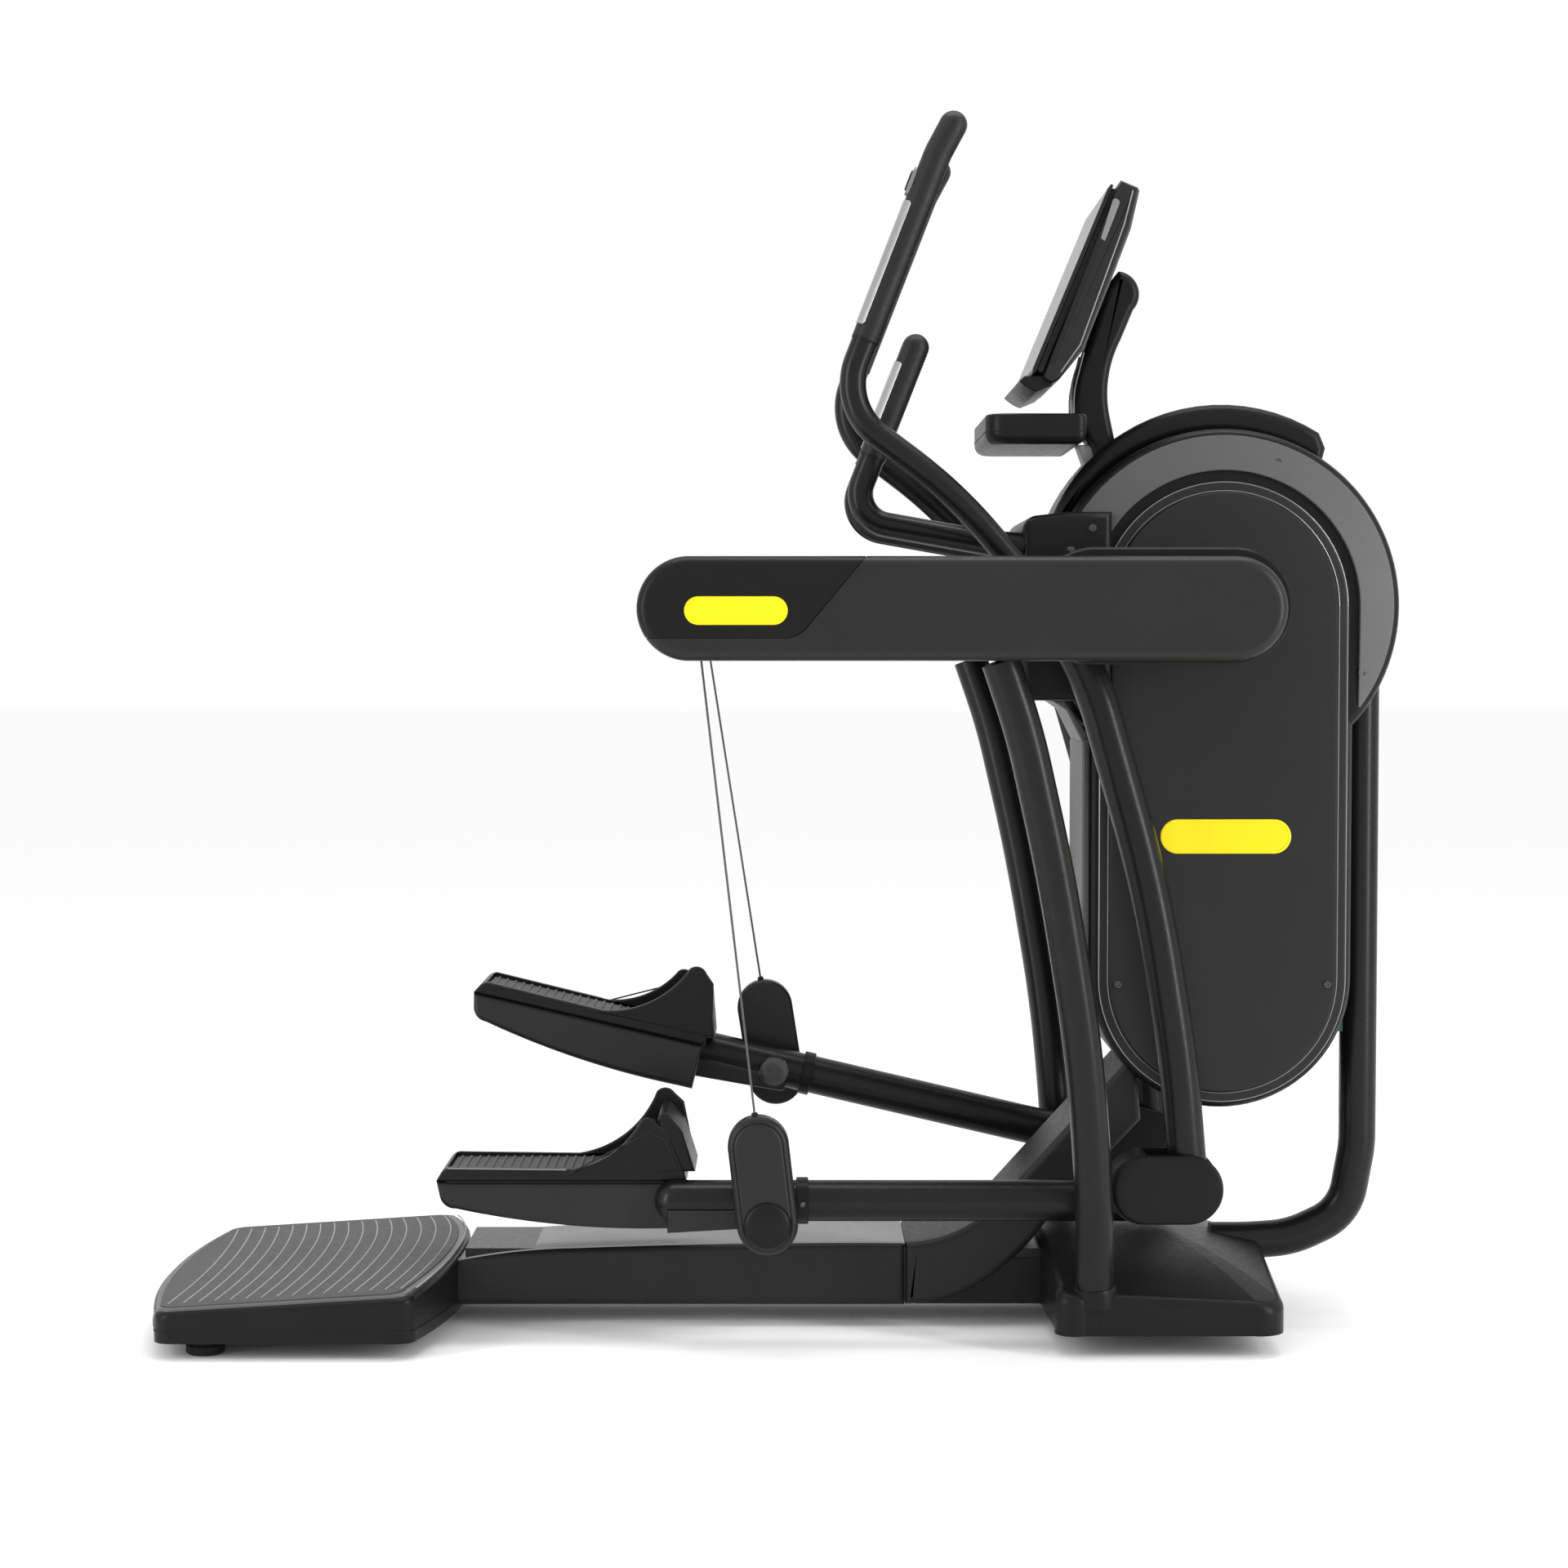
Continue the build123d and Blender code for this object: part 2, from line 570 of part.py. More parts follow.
def brake_unit():
    over_top = Pos(HUB_X, HUB_Z + 190) * Rectangle(190, 90)
    ring = Pos(HUB_X, HUB_Z) * (Circle(FLYWHEEL_R + 35) - Circle(FLYWHEEL_R + 6))
    yoke = prism(ring & over_top, -30, 30)
    arm = block(HUB_X - 12, HUB_X + 12, -65.7, -31, HUB_Z + 130, HUB_Z + 146)
    plate = prism(Pos(HUB_X, HUB_Z + 165) * Rectangle(60, 70), -34, -30)
    return yoke + arm + plate


def shaft_bearings():
    ring = rod(HUB_X, HUB_Z, 20, -72, -60) - rod(HUB_X, HUB_Z, 12 + FIT, -80, -50)
    return Compound(children=[ring, left(ring)])


def control_board():
    board = block(560, 718, -84, -82, 420, 560)
    chips = block(590, 630, -92, -84, 450, 490) + block(660, 700, -97, -84, 500, 540)
    return board + chips


def power_inlet():
    body = block(790, 829, -25, 25, 420.4, 459.6)
    return body - block(806, 830, -14, 14, 431, 449)


# ---- levers, in the right-hand position ----------------------------------------------
GRIP_TIP, GRIP_TOP, GRIP_LOW = (247, 1702), (226, 1663), (126.0, 1407.0)


def handle_path():
    points = [GRIP_TIP, GRIP_TOP, (89.8, 1314.8), (250, 1195), (PIVOT_X, PIVOT_Z)]
    return bent(at_y(points, -LEVER_Y), [120, 90, 700])


def lever_low_points():
    return [(PIVOT_X, PIVOT_Z), (444, 930), (527, 640), (566, 400), (FOOT_X + 1, 262)]


def lever_tube():
    low_path = bent(at_y(lever_low_points(), -LEVER_Y))
    hub = rod(PIVOT_X, PIVOT_Z, 34, -LEVER_Y - 36, -LEVER_Y + 36)
    foot = rod(FOOT_X, FOOT_Z, 25, -LEVER_Y - 26, -LEVER_Y + 26)
    neck = bar(Line((FOOT_X + 1, -LEVER_Y, 261), (FOOT_X, -LEVER_Y, FOOT_Z)), LEVER_R)
    body = bar(low_path, LEVER_R) + bar(handle_path(), HANDLE_R) + neck
    body = body - bar(low_path, LEVER_R - 3) - bar(handle_path(), HANDLE_R - 2.5) + hub + foot
    return body - rod(PIVOT_X, PIVOT_Z, SHAFT_R + FIT, -300, -100) - foot_bore()


def foot_bore():
    return rod(FOOT_X, FOOT_Z, AXLE_R + FIT, -300, -100)


def pin_bore():
    return rod(PIN_X, PIN_Z, PIN_R + FIT, -300, -100)


def lever_grip():
    """Moulded sleeve over the handle, closed and rounded at the tip."""
    run = bent(at_y([GRIP_TIP, GRIP_TOP, GRIP_LOW], -LEVER_Y), [120])
    sleeve = bar(run, GRIP_R) + Pos(GRIP_TIP[0], -LEVER_Y, GRIP_TIP[1]) * Sphere(GRIP_R)
    return sleeve + switch_collar() - bar(handle_path(), HANDLE_R + 0.1)


def lever_sensor():
    return strip((196, -LEVER_Y, 1586.2), (130, -LEVER_Y, 1417.2), GRIP_R, 30)


def switch_frame():
    """Place of the thumb switch: the user's side of the grip, near its top."""
    lean = degrees(atan2(GRIP_TOP[0] - GRIP_LOW[0], GRIP_TOP[1] - GRIP_LOW[1]))
    return Pos(208, -LEVER_Y, 1617) * Rot(Y=lean)


def lever_switch():
    """Rocker switch that slides 1.5 mm into its collar when pressed."""
    return switch_frame() * Pos(-23.5, 0, 0) * fillet(Box(4.0, 12, 30).edges(), 1.5)


def switch_collar():
    return switch_frame() * (Pos(-20.5, 0, 0) * (Box(5, 19, 42) - Box(8, 12.8, 30.8)))


# ---- pedal arm, in the right-hand position ---------------------------------------------
def lower_axle():
    """Axle with a steel thrust plate on each side of the lever's foot."""
    axle = rod(FOOT_X, FOOT_Z, AXLE_R, -ARM_Y - 38, -ARM_Y + 33)
    return axle + rod(FOOT_X, FOOT_Z, 40, -240.2, -236.8) + rod(FOOT_X, FOOT_Z, 40, -181.2, -176.8)


def pedal_arm():
    """Arm tube with the oval joint housing at its front end."""
    oval = slot_face(470, FOOT_X + 48.6, FOOT_Z, 48.6)
    case = fillet(edges_at_y(prism(oval, -247, -169), -247), 8)
    hollow = slot_face(500, FOOT_X + 42, FOOT_Z, 42)
    case = case - prism(hollow, -240.5, -176.5)
    case = case - block(512, 700, -240.5, -176.5, FOOT_Z, FOOT_Z + 60)
    arm = bar(Line((500, -ARM_Y, ARM_Z), (-160, -ARM_Y, ARM_Z)), ARM_R)
    bore = bar(Line((474, -ARM_Y, ARM_Z), (-157, -ARM_Y, ARM_Z)), ARM_R - 3)
    arm = arm - block(499, 520, -300, -100, 100, 300)
    clamp = bar(Line((29, -ARM_Y, ARM_Z), (47, -ARM_Y, ARM_Z)), ARM_R + 4)
    body = case + arm + clamp - bore + pin_boss()
    return body - foot_bore() - pin_bore()


def pin_boss():
    return rod(PIN_X, PIN_Z, 17, -ARM_Y - 33, -ARM_Y + 31)


def pedal_low_face():
    return curved_face((-477, 229), (-472, 206), [(-466, 196), (-450, 190)],
                       [(-310, 168), (-150, 162)], (-128, 162), (-128, 229), (-477, 229))


def pedal_base():
    """Lower moulding of the pedal, with a cradle that runs forward under the arm."""
    body = prism(pedal_low_face(), -200, -50)
    body = fillet(edges_at_y(body, -50).filter_by_position(Axis.Z, 150, 228), 10)
    cradle = prism(polygon((-140, 162), (10, 171), (10, 196), (-140, 196)), -238, -174.5)
    cut = bar(Line((-163, -ARM_Y, ARM_Z), (60, -ARM_Y, ARM_Z)), ARM_R + GAP)
    inner = polygon((-462, 212), (-440, 200), (-300, 178), (-180, 172), (-180, 229.5), (-462, 229.5))
    return body + cradle - cut - prism(inner, -166, -58) - pin_space()


def pin_space():
    return rod(PIN_X, PIN_Z, 18, -245, -165)


def pedal_side_face(peak_x, peak_z):
    """Raised side wall of the toe cup."""
    return curved_face((-291, 240), [(-240, 262), (peak_x - 12, peak_z)], (peak_x, peak_z + 1),
                       (peak_x + 26, peak_z - 16), (-126, 229.4), (-291, 229.4), (-291, 240))


def pedal_top():
    """Upper moulding: foot deck with a rim and a toe cup, higher on the inner side."""
    deck = prism(curved_face((-477, 229.4), (-470, 240), [(-462, 247), (-452, 249)], (-291, 247),
                             (-126, 247), (-126, 229.4), (-477, 229.4)), -200, -50)
    deck = deck - block(-462, -150, -188, -62, 238, 260)
    outer = prism(pedal_side_face(-177, 316), -200, -188)
    inner = prism(pedal_side_face(-158, 340), -62, -50)
    toe = polygon((-166, 229.4), (-166, 318), (-156, 330), (-134, 318), (-110, 240), (-110, 229.4))
    window = prism(polygon((-160, 262), (-128, 262), (-138, 292), (-160, 292)), -250, -90)
    body = deck + outer + inner + prism(toe, -196, -50) - window
    cut = bar(Line((-163, -ARM_Y, ARM_Z), (0, -ARM_Y, ARM_Z)), ARM_R + GAP)
    return body - cut - block(-165.6, -100, -240, -176, 228, 234)


def pedal_mat():
    return block(-461, -168, -187.4, -62.6, 238.4, 243.5)


# ---- link and cable, in the right-hand position -----------------------------------------
def link_lean():
    """Angle of the link from upright: it points at the cable's way into the beam."""
    return degrees(atan2(EXIT_X - PIN_X, EXIT_Z - PIN_Z))


def along_link(up):
    a = radians(link_lean())
    return PIN_X + up * sin(a), PIN_Z + up * cos(a)


def link_pin():
    """Pin through the arm, with a flat round head on the inner side."""
    pin = rod(PIN_X, PIN_Z, PIN_R, -ARM_Y - 62, -ARM_Y + 34)
    return pin + rod(PIN_X, PIN_Z, 23, -ARM_Y + 32, -ARM_Y + 38)


LINK_R, LINK_TOP, LINK_LOW, LINK_IN, LINK_OUT = 42.5, 91.0, -18.0, 241.0, 278.0


def link_body():
    lean = link_lean()
    oval = SlotCenterToCenter(LINK_TOP - LINK_LOW, 2 * LINK_R)
    x, z = along_link((LINK_TOP + LINK_LOW) / 2)
    body = prism(Pos(x, z) * Rot(Z=90 - lean) * oval, -LINK_OUT, -LINK_IN)
    body = fillet(edges_at_y(body, -LINK_OUT), 7)
    bx, bz = along_link(LINK_LOW)
    dome = Pos(bx, -LINK_OUT + 46, bz) * (Sphere(56) & (Pos(0, -52, 0) * Box(100, 14, 100)))
    top = Vector(along_link(142)[0], -CABLE_Y, along_link(142)[1])
    end = Vector(along_link(14)[0], -CABLE_Y, along_link(14)[1])
    channel = bar(Line(top, end), CABLE_R + 0.6)
    return body + dome - channel - rod(PIN_X, PIN_Z, PIN_R + FIT, -ARM_Y - 62.5, -200)


CABLE_LENGTH = 690.0
CABLE_START = {"right": 122.0, "left": 17.0}    # from the link pin to the cable's lower end


def cable(start):
    low, high = along_link(start), along_link(start + CABLE_LENGTH)
    return bar(Line((low[0], -CABLE_Y, low[1]), (high[0], -CABLE_Y, high[1])), CABLE_R)


def left_link_turn():
    """Turn that keeps the raised left link pointing at the beam."""
    a = radians(ARM_RAISED)
    x, z = PIN_X - FOOT_X, PIN_Z - FOOT_Z
    pin_x, pin_z = FOOT_X + x * cos(a) + z * sin(a), FOOT_Z - x * sin(a) + z * cos(a)
    return (pin_x, pin_z), degrees(atan2(EXIT_X - pin_x, EXIT_Z - pin_z)) - link_lean() - ARM_RAISED


def hung(shape):
    """A right-hand link piece, moved to the raised left arm and turned to hang true."""
    (x, z), turn = left_link_turn()
    return raised(shape).rotate(Axis((x, 0, z), (0, 1, 0)), turn)


# ---- all pieces -------------------------------------------------------------------------
def pair(shape):
    return Compound(children=[shape, left(shape)])


def both(shape_1, shape_2):
    return Compound(children=shape_1.solids() + shape_2.solids())


PIECES = {
    "base_cover": base_cover(), "floor_frame": both(base_crossbar() + spine_tube(), ramp_strut()),
    "rubber_feet": rubber_feet(), "spine_cover": spine_cover(), "ramp_cover": ramp_cover(),
    "step_base": step_base(), "step_deck": step_deck(), "leg_tubes": pair(leg_tube(-1)),
    "tail_tube": tail_tube(), "inner_frame": both(both(side_plates(), beam_mounts()), pulley_axles()),
    "housing_shells": pair(housing_shell()), "housing_top_cap": housing_top_cap(),
    "housing_screws": housing_screws(), "housing_rear_cover": housing_rear_cover(),
    "side_panels": pair(side_panel()), "accent_trims": pair(accent_trim()),
    "pivot_housing": pivot_housing(), "lever_shaft": lever_shaft(),
    "beam_inners": pair(beam_inner()), "beam_covers": pair(beam_cover()),
    "beam_rear_caps": pair(beam_rear_cap()), "fixed_handlebars": fixed_handlebars(),
    "pulse_sensors": pulse_sensors(), "console_mast": console_mast(),
    "console_body": console_body(), "console_screen": console_screen(), "tray": tray(),
    "flywheel": flywheel(), "drive_pulley": drive_pulley(), "drive_belt": drive_belt(),
    "brake_unit": brake_unit(), "shaft_bearings": shaft_bearings(),
    "control_board": control_board(), "power_inlet": power_inlet(),
}
for name, make in {"cable_pulley": cable_pulley, "lever_tube": lever_tube, "lever_grip": lever_grip,
                   "lever_sensor": lever_sensor, "lever_switch": lever_switch}.items():
    PIECES[name + "_right"] = make()
    PIECES[name + "_left"] = left(PIECES[name + "_right"])
for name, make in {"lower_axle": lower_axle, "pedal_arm": pedal_arm, "pedal_base": pedal_base,
                   "pedal_top": pedal_top, "pedal_mat": pedal_mat}.items():
    PIECES[name + "_right"] = make()
    PIECES[name + "_left"] = raised(PIECES[name + "_right"])
for name, make in {"link_pin": link_pin, "link_body": link_body}.items():
    PIECES[name + "_right"] = make()
    PIECES[name + "_left"] = hung(PIECES[name + "_right"])
PIECES["cable_right"] = cable(CABLE_START["right"])
PIECES["cable_left"] = hung(cable(CABLE_START["left"]))

for name, shape in PIECES.items():
    export_step(shape, f"parts/{name}.step")
print(len(PIECES), "pieces")
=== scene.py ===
import json
from math import atan2, cos, hypot, pi, radians, sin, tan

import bmesh
import bpy
from mathutils import Matrix, Vector


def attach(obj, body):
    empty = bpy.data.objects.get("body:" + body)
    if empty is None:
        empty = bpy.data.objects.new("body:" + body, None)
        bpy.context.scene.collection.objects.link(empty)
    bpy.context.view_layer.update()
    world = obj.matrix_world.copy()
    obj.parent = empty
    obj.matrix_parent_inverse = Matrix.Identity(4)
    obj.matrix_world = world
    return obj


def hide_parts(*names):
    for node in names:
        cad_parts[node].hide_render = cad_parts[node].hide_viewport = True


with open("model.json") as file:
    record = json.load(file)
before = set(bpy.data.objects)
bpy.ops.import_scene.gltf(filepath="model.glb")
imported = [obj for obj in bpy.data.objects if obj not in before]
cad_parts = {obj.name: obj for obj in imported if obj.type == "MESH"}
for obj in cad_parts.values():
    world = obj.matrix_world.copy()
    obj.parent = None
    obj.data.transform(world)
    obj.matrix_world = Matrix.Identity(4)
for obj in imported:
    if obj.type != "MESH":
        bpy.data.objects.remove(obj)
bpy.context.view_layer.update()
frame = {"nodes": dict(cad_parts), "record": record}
NODES = frame["nodes"]

# Lengths below are in millimetres, in the CAD model's frame. Right-hand pieces are drawn at
# negative Y; the left-hand ones are mirrored, and the left pedal arm stands raised.
MM = 0.001
HUB = (639.0, 1039.0)
LOWER = (639.0, 507.0)
DISC_R, BODY_R, PANEL_R, PLATEAU_R = 253.0, 187.0, 177.0, 161.0
PIVOT = (388.0, 1032.0)
FOOT = (577.0, 225.0)
PIN = (-12.0, 199.0)
EXIT = (-101.0, 962.0)
LEVER_Y, ARM_Y, BAR_Y, CABLE_Y = 209.0, 205.0, 125.0, 259.0
ARM_Z, ARM_R, LEVER_R, HANDLE_R, GRIP_R = 204.0, 28.8, 27.5, 18.4, 19.5
ARM_RAISED = 13.13
BEAM_REAR, BEAM_FRONT, BEAM_Z, BEAM_R = -184.0, 686.0, 1032.0, 70.0


# ---- placing -------------------------------------------------------------------------
def turn_about(point, degrees_up):
    """Turn about a Y axis through a point given as X and Z."""
    centre = Vector((point[0] * MM, 0, point[1] * MM))
    return (Matrix.Translation(centre) @ Matrix.Rotation(radians(degrees_up), 4, "Y")
            @ Matrix.Translation(-centre))


def link_lean(pin):
    return atan2(EXIT[0] - pin[0], EXIT[1] - pin[1])


def left_pin():
    spot = turn_about(FOOT, ARM_RAISED) @ Vector((PIN[0] * MM, 0, PIN[1] * MM))
    return spot.x / MM, spot.z / MM


MIRROR = Matrix.Diagonal((1, -1, 1, 1))
RAISE = turn_about(FOOT, ARM_RAISED) @ MIRROR
LINK_TURN = (link_lean(left_pin()) - link_lean(PIN)) * 180 / pi - ARM_RAISED
HANG = turn_about(left_pin(), LINK_TURN) @ RAISE
FIXED_SIDES = {"right": Matrix.Identity(4), "left": MIRROR}
ARM_SIDES = {"right": Matrix.Identity(4), "left": RAISE}
LINK_SIDES = {"right": Matrix.Identity(4), "left": HANG}


# ---- outlines ------------------------------------------------------------------------
def arc_points(start, mid, end, count=20):
    """Points of the circular arc through three points, after the first."""
    (ax, az), (bx, bz), (cx, cz) = start, mid, end
    d = 2 * (ax * (bz - cz) + bx * (cz - az) + cx * (az - bz))
    sa, sb, sc = ax * ax + az * az, bx * bx + bz * bz, cx * cx + cz * cz
    ux = (sa * (bz - cz) + sb * (cz - az) + sc * (az - bz)) / d
    uz = (sa * (cx - bx) + sb * (ax - cx) + sc * (bx - ax)) / d
    r = hypot(ax - ux, az - uz)
    first, middle, last = (atan2(z - uz, x - ux) for x, z in (start, mid, end))
    sweep = (last - first) % (2 * pi)
    if (middle - first) % (2 * pi) > sweep:
        sweep -= 2 * pi
    steps = (first + sweep * k / count for k in range(1, count + 1))
    return [(ux + r * cos(a), uz + r * sin(a)) for a in steps]


def outline(start, *steps):
    """Closed outline; a step that is a list of two points is an arc through them."""
    points = [start]
    for step in steps:
        if isinstance(step, list):
            points += arc_points(points[-1], step[0], step[1])
        else:
            points.append(step)
    if hypot(points[0][0] - points[-1][0], points[0][1] - points[-1][1]) < 0.01:
        points.pop()
    return points


def stadium(a, b, r, count=44):
    """Outline at distance r round the line from a to b."""
    lean = atan2(b[1] - a[1], b[0] - a[0])
    points = []
    for centre, start in ((b, lean - pi / 2), (a, lean + pi / 2)):
        for k in range(count + 1):
            t = start + pi * k / count
            points.append((centre[0] + r * cos(t), centre[1] + r * sin(t)))
    return points


def bent(points, radii=None, step=7.0):
    """Points along straight runs joined by tangent arcs."""
    spots = [Vector(p) for p in points]
    path = [spots[0]]
    for k in range(1, len(spots) - 1):
        run_in, run_out = spots[k] - spots[k - 1], spots[k + 1] - spots[k]
        turn = run_in.angle(run_out)
        r = 0.45 * min(run_in.length, run_out.length) / tan(turn / 2)
        if radii:
            r = min(r, radii[k - 1])
        cut = r * tan(turn / 2)
        u, v = run_in.normalized(), run_out.normalized()
        centre = spots[k] + (v - u).normalized() * hypot(r, cut)
        entry = spots[k] - u * cut - centre
        axis = u.cross(v).normalized()
        count = max(4, int(r * turn / step))
        path += [centre + Matrix.Rotation(turn * i / count, 3, axis) @ entry for i in range(count + 1)]
    return path + [spots[-1]]


def at_y(points, y):
    return [(x, y, z) for x, z in points]


# ---- meshes --------------------------------------------------------------------------
def prism(bm, points, low, high, rim_low=0.0, rim_high=0.0, segments=5):
    """Outline in X and Z pulled along Y, with rounded rims."""
    near = [bm.verts.new((x * MM, low * MM, z * MM)) for x, z in points]
    far = [bm.verts.new((x * MM, high * MM, z * MM)) for x, z in points]
    caps = [bm.faces.new(near), bm.faces.new(far[::-1])]
    walls = [bm.faces.new((near[k], near[k - 1], far[k - 1], far[k])) for k in range(len(points))]
    bmesh.ops.recalc_face_normals(bm, faces=caps + walls)
    for cap, rim in zip(caps, (rim_low, rim_high)):
        if rim:
            bmesh.ops.bevel(bm, geom=list(cap.edges), offset=rim * MM, segments=segments,
                            profile=0.5, affect="EDGES", clamp_overlap=False)
    return bm


def rings(bm, loops, close_ends=True):
    """Skin over loops of points, which all have the same count."""
    rows = [[bm.verts.new(p) for p in loop] for loop in loops]
    count = len(rows[0])
    for a, b in zip(rows, rows[1:]):
        for k in range(count):
            bm.faces.new((a[k - 1], a[k], b[k], b[k - 1]))
    if close_ends:
        bm.faces.new(rows[0][::-1])
        bm.faces.new(rows[-1])
    bmesh.ops.recalc_face_normals(bm, faces=bm.faces)
    return bm


def stadium_form(bm, a, b, profile):
    """Stadium built up from (radius, Y) pairs, from one face to the other."""
    return rings(bm, [[(x * MM, y * MM, z * MM) for x, z in stadium(a, b, r)] for r, y in profile])


def disc_form(bm, centre, profile, count=72):
    """Round form about a Y axis, from (radius, Y) pairs."""
    loops = []
    for r, y in profile:
        spots = (2 * pi * k / count for k in range(count))
        loops.append([((centre[0] + r * cos(t)) * MM, y * MM, (centre[1] + r * sin(t)) * MM)
                      for t in spots])
    return rings(bm, loops)


def pipe(bm, path, radius, sides=40, round_start=False, round_end=False):
    """Round tube along a path, with flat or rounded ends."""
    path = [Vector(p) for p in path]
    radii = [radius] * len(path) if isinstance(radius, (int, float)) else list(radius)
    heading = (path[1] - path[0]).normalized()
    side = heading.orthogonal().normalized()
    loops = []
    frames = []
    for k, point in enumerate(path):
        ahead = path[min(k + 1, len(path) - 1)] - path[max(k - 1, 0)]
        heading = ahead.normalized()
        side = (side - heading * side.dot(heading)).normalized()
        frames.append((point, heading, side, radii[k]))

    def loop(point, heading, side, r):
        other = heading.cross(side)
        angles = (2 * pi * i / sides for i in range(sides))
        return [(point + (side * cos(a) + other * sin(a)) * r) * MM for a in angles]
    dome = [radians(a) for a in (84, 72, 58, 44, 30, 15)]
    if round_start:
        point, heading, side, r = frames[0]
        loops += [loop(point - heading * r * sin(a), heading, side, r * cos(a)) for a in dome]
    loops += [loop(*f) for f in frames]
    if round_end:
        point, heading, side, r = frames[-1]
        loops += [loop(point + heading * r * sin(a), heading, side, r * cos(a)) for a in dome[::-1]]
    return rings(bm, loops)


def raised_plate(bm, plan, low, top, rim, rings_in=6, levels=5, foot=0.0):
    """Plan outline (X, Y) standing from low to a top surface, with rounded edges."""
    cx = sum(p[0] for p in plan) / len(plan)
    cy = sum(p[1] for p in plan) / len(plan)

    def inset(distance):
        moved = []
        for k, (x, y) in enumerate(plan):
            px, py = plan[k - 1]
            nx, ny = plan[(k + 1) % len(plan)]
            tx, ty = nx - px, ny - py
            size = hypot(tx, ty)
            sign = 1 if tx * (cy - y) - ty * (cx - x) > 0 else -1
            moved.append((x - sign * ty / size * distance, y + sign * tx / size * distance))
        return moved
    loops = []
    for k in range(levels if foot else 0):
        a = pi / 2 * k / levels
        height = low + foot * (1 - cos(a))
        loops.append([(x * MM, y * MM, height * MM) for x, y in inset(foot * (1 - sin(a)))])
    loops.append([(x * MM, y * MM, (low + foot) * MM) for x, y in plan])
    for k in range(levels + 1):
        a = pi / 2 * k / levels
        loops.append([(x * MM, y * MM, (top(x, y) - rim * (1 - sin(a))) * MM)
                      for x, y in inset(rim * (1 - cos(a)))])
    edge = inset(rim)
    for k in range(1, rings_in + 1):
        f = 1 - k / (rings_in + 1)
        flat = [(cx + (x - cx) * f, cy + (y - cy) * f) for x, y in edge]
        loops.append([(x * MM, y * MM, top(x, y) * MM) for x, y in flat])
    return rings(bm, loops)


def box_form(bm, x0, x1, y0, y1, z0, z1, rim=1.0, segments=3):
    prism(bm, [(x0, z0), (x1, z0), (x1, z1), (x0, z1)], y0, y1)
    sharp = [e for e in bm.edges if e.is_manifold and e.calc_face_angle(0) > radians(60)]
    bmesh.ops.bevel(bm, geom=sharp, offset=rim * MM, segments=segments, profile=0.5,
                    affect="EDGES", clamp_overlap=True)
    return bm


def tidy_shading(mesh, limit=32):
    """Smooth shading, with sharp edges where faces meet steeply."""
    bm = bmesh.new()
    bm.from_mesh(mesh)
    for face in bm.faces:
        face.smooth = True
    for edge in bm.edges:
        edge.smooth = not edge.is_manifold or edge.calc_face_angle(0) < radians(limit)
    bm.to_mesh(mesh)
    bm.free()


def piece(name, bm, material, body, slot, nodes=(), place=None, limit=32):
    """Makes an object from a bmesh, places it and ties it to its CAD body."""
    mesh = bpy.data.meshes.new(name)
    bm.to_mesh(mesh)
    bm.free()
    if place is not None:
        mesh.transform(place)
        if place.determinant() < 0:
            mesh.flip_normals()
    tidy_shading(mesh, limit)
    mesh.materials.append(material)
    obj = bpy.data.objects.new(name, mesh)
    bpy.context.scene.collection.objects.link(obj)
    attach(obj, body)
    if nodes:
        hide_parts(*nodes)
    normals = obj.modifiers.new("normals", "WEIGHTED_NORMAL")
    normals.keep_sharp = True
    return obj


def carved(obj, bm):
    """Cuts a closed form out of a piece."""
    mesh = bpy.data.meshes.new("cutter")
    bm.to_mesh(mesh)
    bm.free()
    tool = bpy.data.objects.new("cutter", mesh)
    bpy.context.scene.collection.objects.link(tool)
    cut = obj.modifiers.new("cut", "BOOLEAN")
    cut.operation = "DIFFERENCE"
    cut.solver = "EXACT"
    cut.object = tool
    while obj.modifiers[0] != cut:
        obj.modifiers.move(len(obj.modifiers) - 1, 0)
    bpy.context.view_layer.update()
    result = bpy.data.meshes.new_from_object(obj.evaluated_get(bpy.context.evaluated_depsgraph_get()))
    obj.modifiers.clear()
    obj.data = result
    tidy_shading(result)
    bpy.data.objects.remove(tool)
    normals = obj.modifiers.new("normals", "WEIGHTED_NORMAL")
    normals.keep_sharp = True
    return obj


# ---- materials -----------------------------------------------------------------------
def texture(tree, kind, scale, stretch=(1, 1, 1), **settings):
    """A procedural texture on object coordinates, in repeats per metre."""
    coords = tree.nodes.new("ShaderNodeTexCoord")
    mapping = tree.nodes.new("ShaderNodeMapping")
    mapping.inputs["Scale"].default_value = stretch
    made = tree.nodes.new(kind)
    made.inputs["Scale"].default_value = scale
    for key, value in settings.items():
        made.inputs[key].default_value = value
    tree.links.new(coords.outputs["Object"], mapping.inputs["Vector"])
    tree.links.new(mapping.outputs["Vector"], made.inputs["Vector"])
    return made


def remapped(tree, source, low, high, start=0.3, stop=0.7):
    node = tree.nodes.new("ShaderNodeMapRange")
    for key, value in (("From Min", start), ("From Max", stop), ("To Min", low), ("To Max", high)):
        node.inputs[key].default_value = value
    tree.links.new(source, node.inputs["Value"])
    return node.outputs["Result"]


def blended(tree, factor, dark, light):
    node = tree.nodes.new("ShaderNodeMix")
    node.data_type = "RGBA"
    node.inputs[6].default_value = (*dark, 1)
    node.inputs[7].default_value = (*light, 1)
    tree.links.new(factor, node.inputs[0])
    return node.outputs[2]


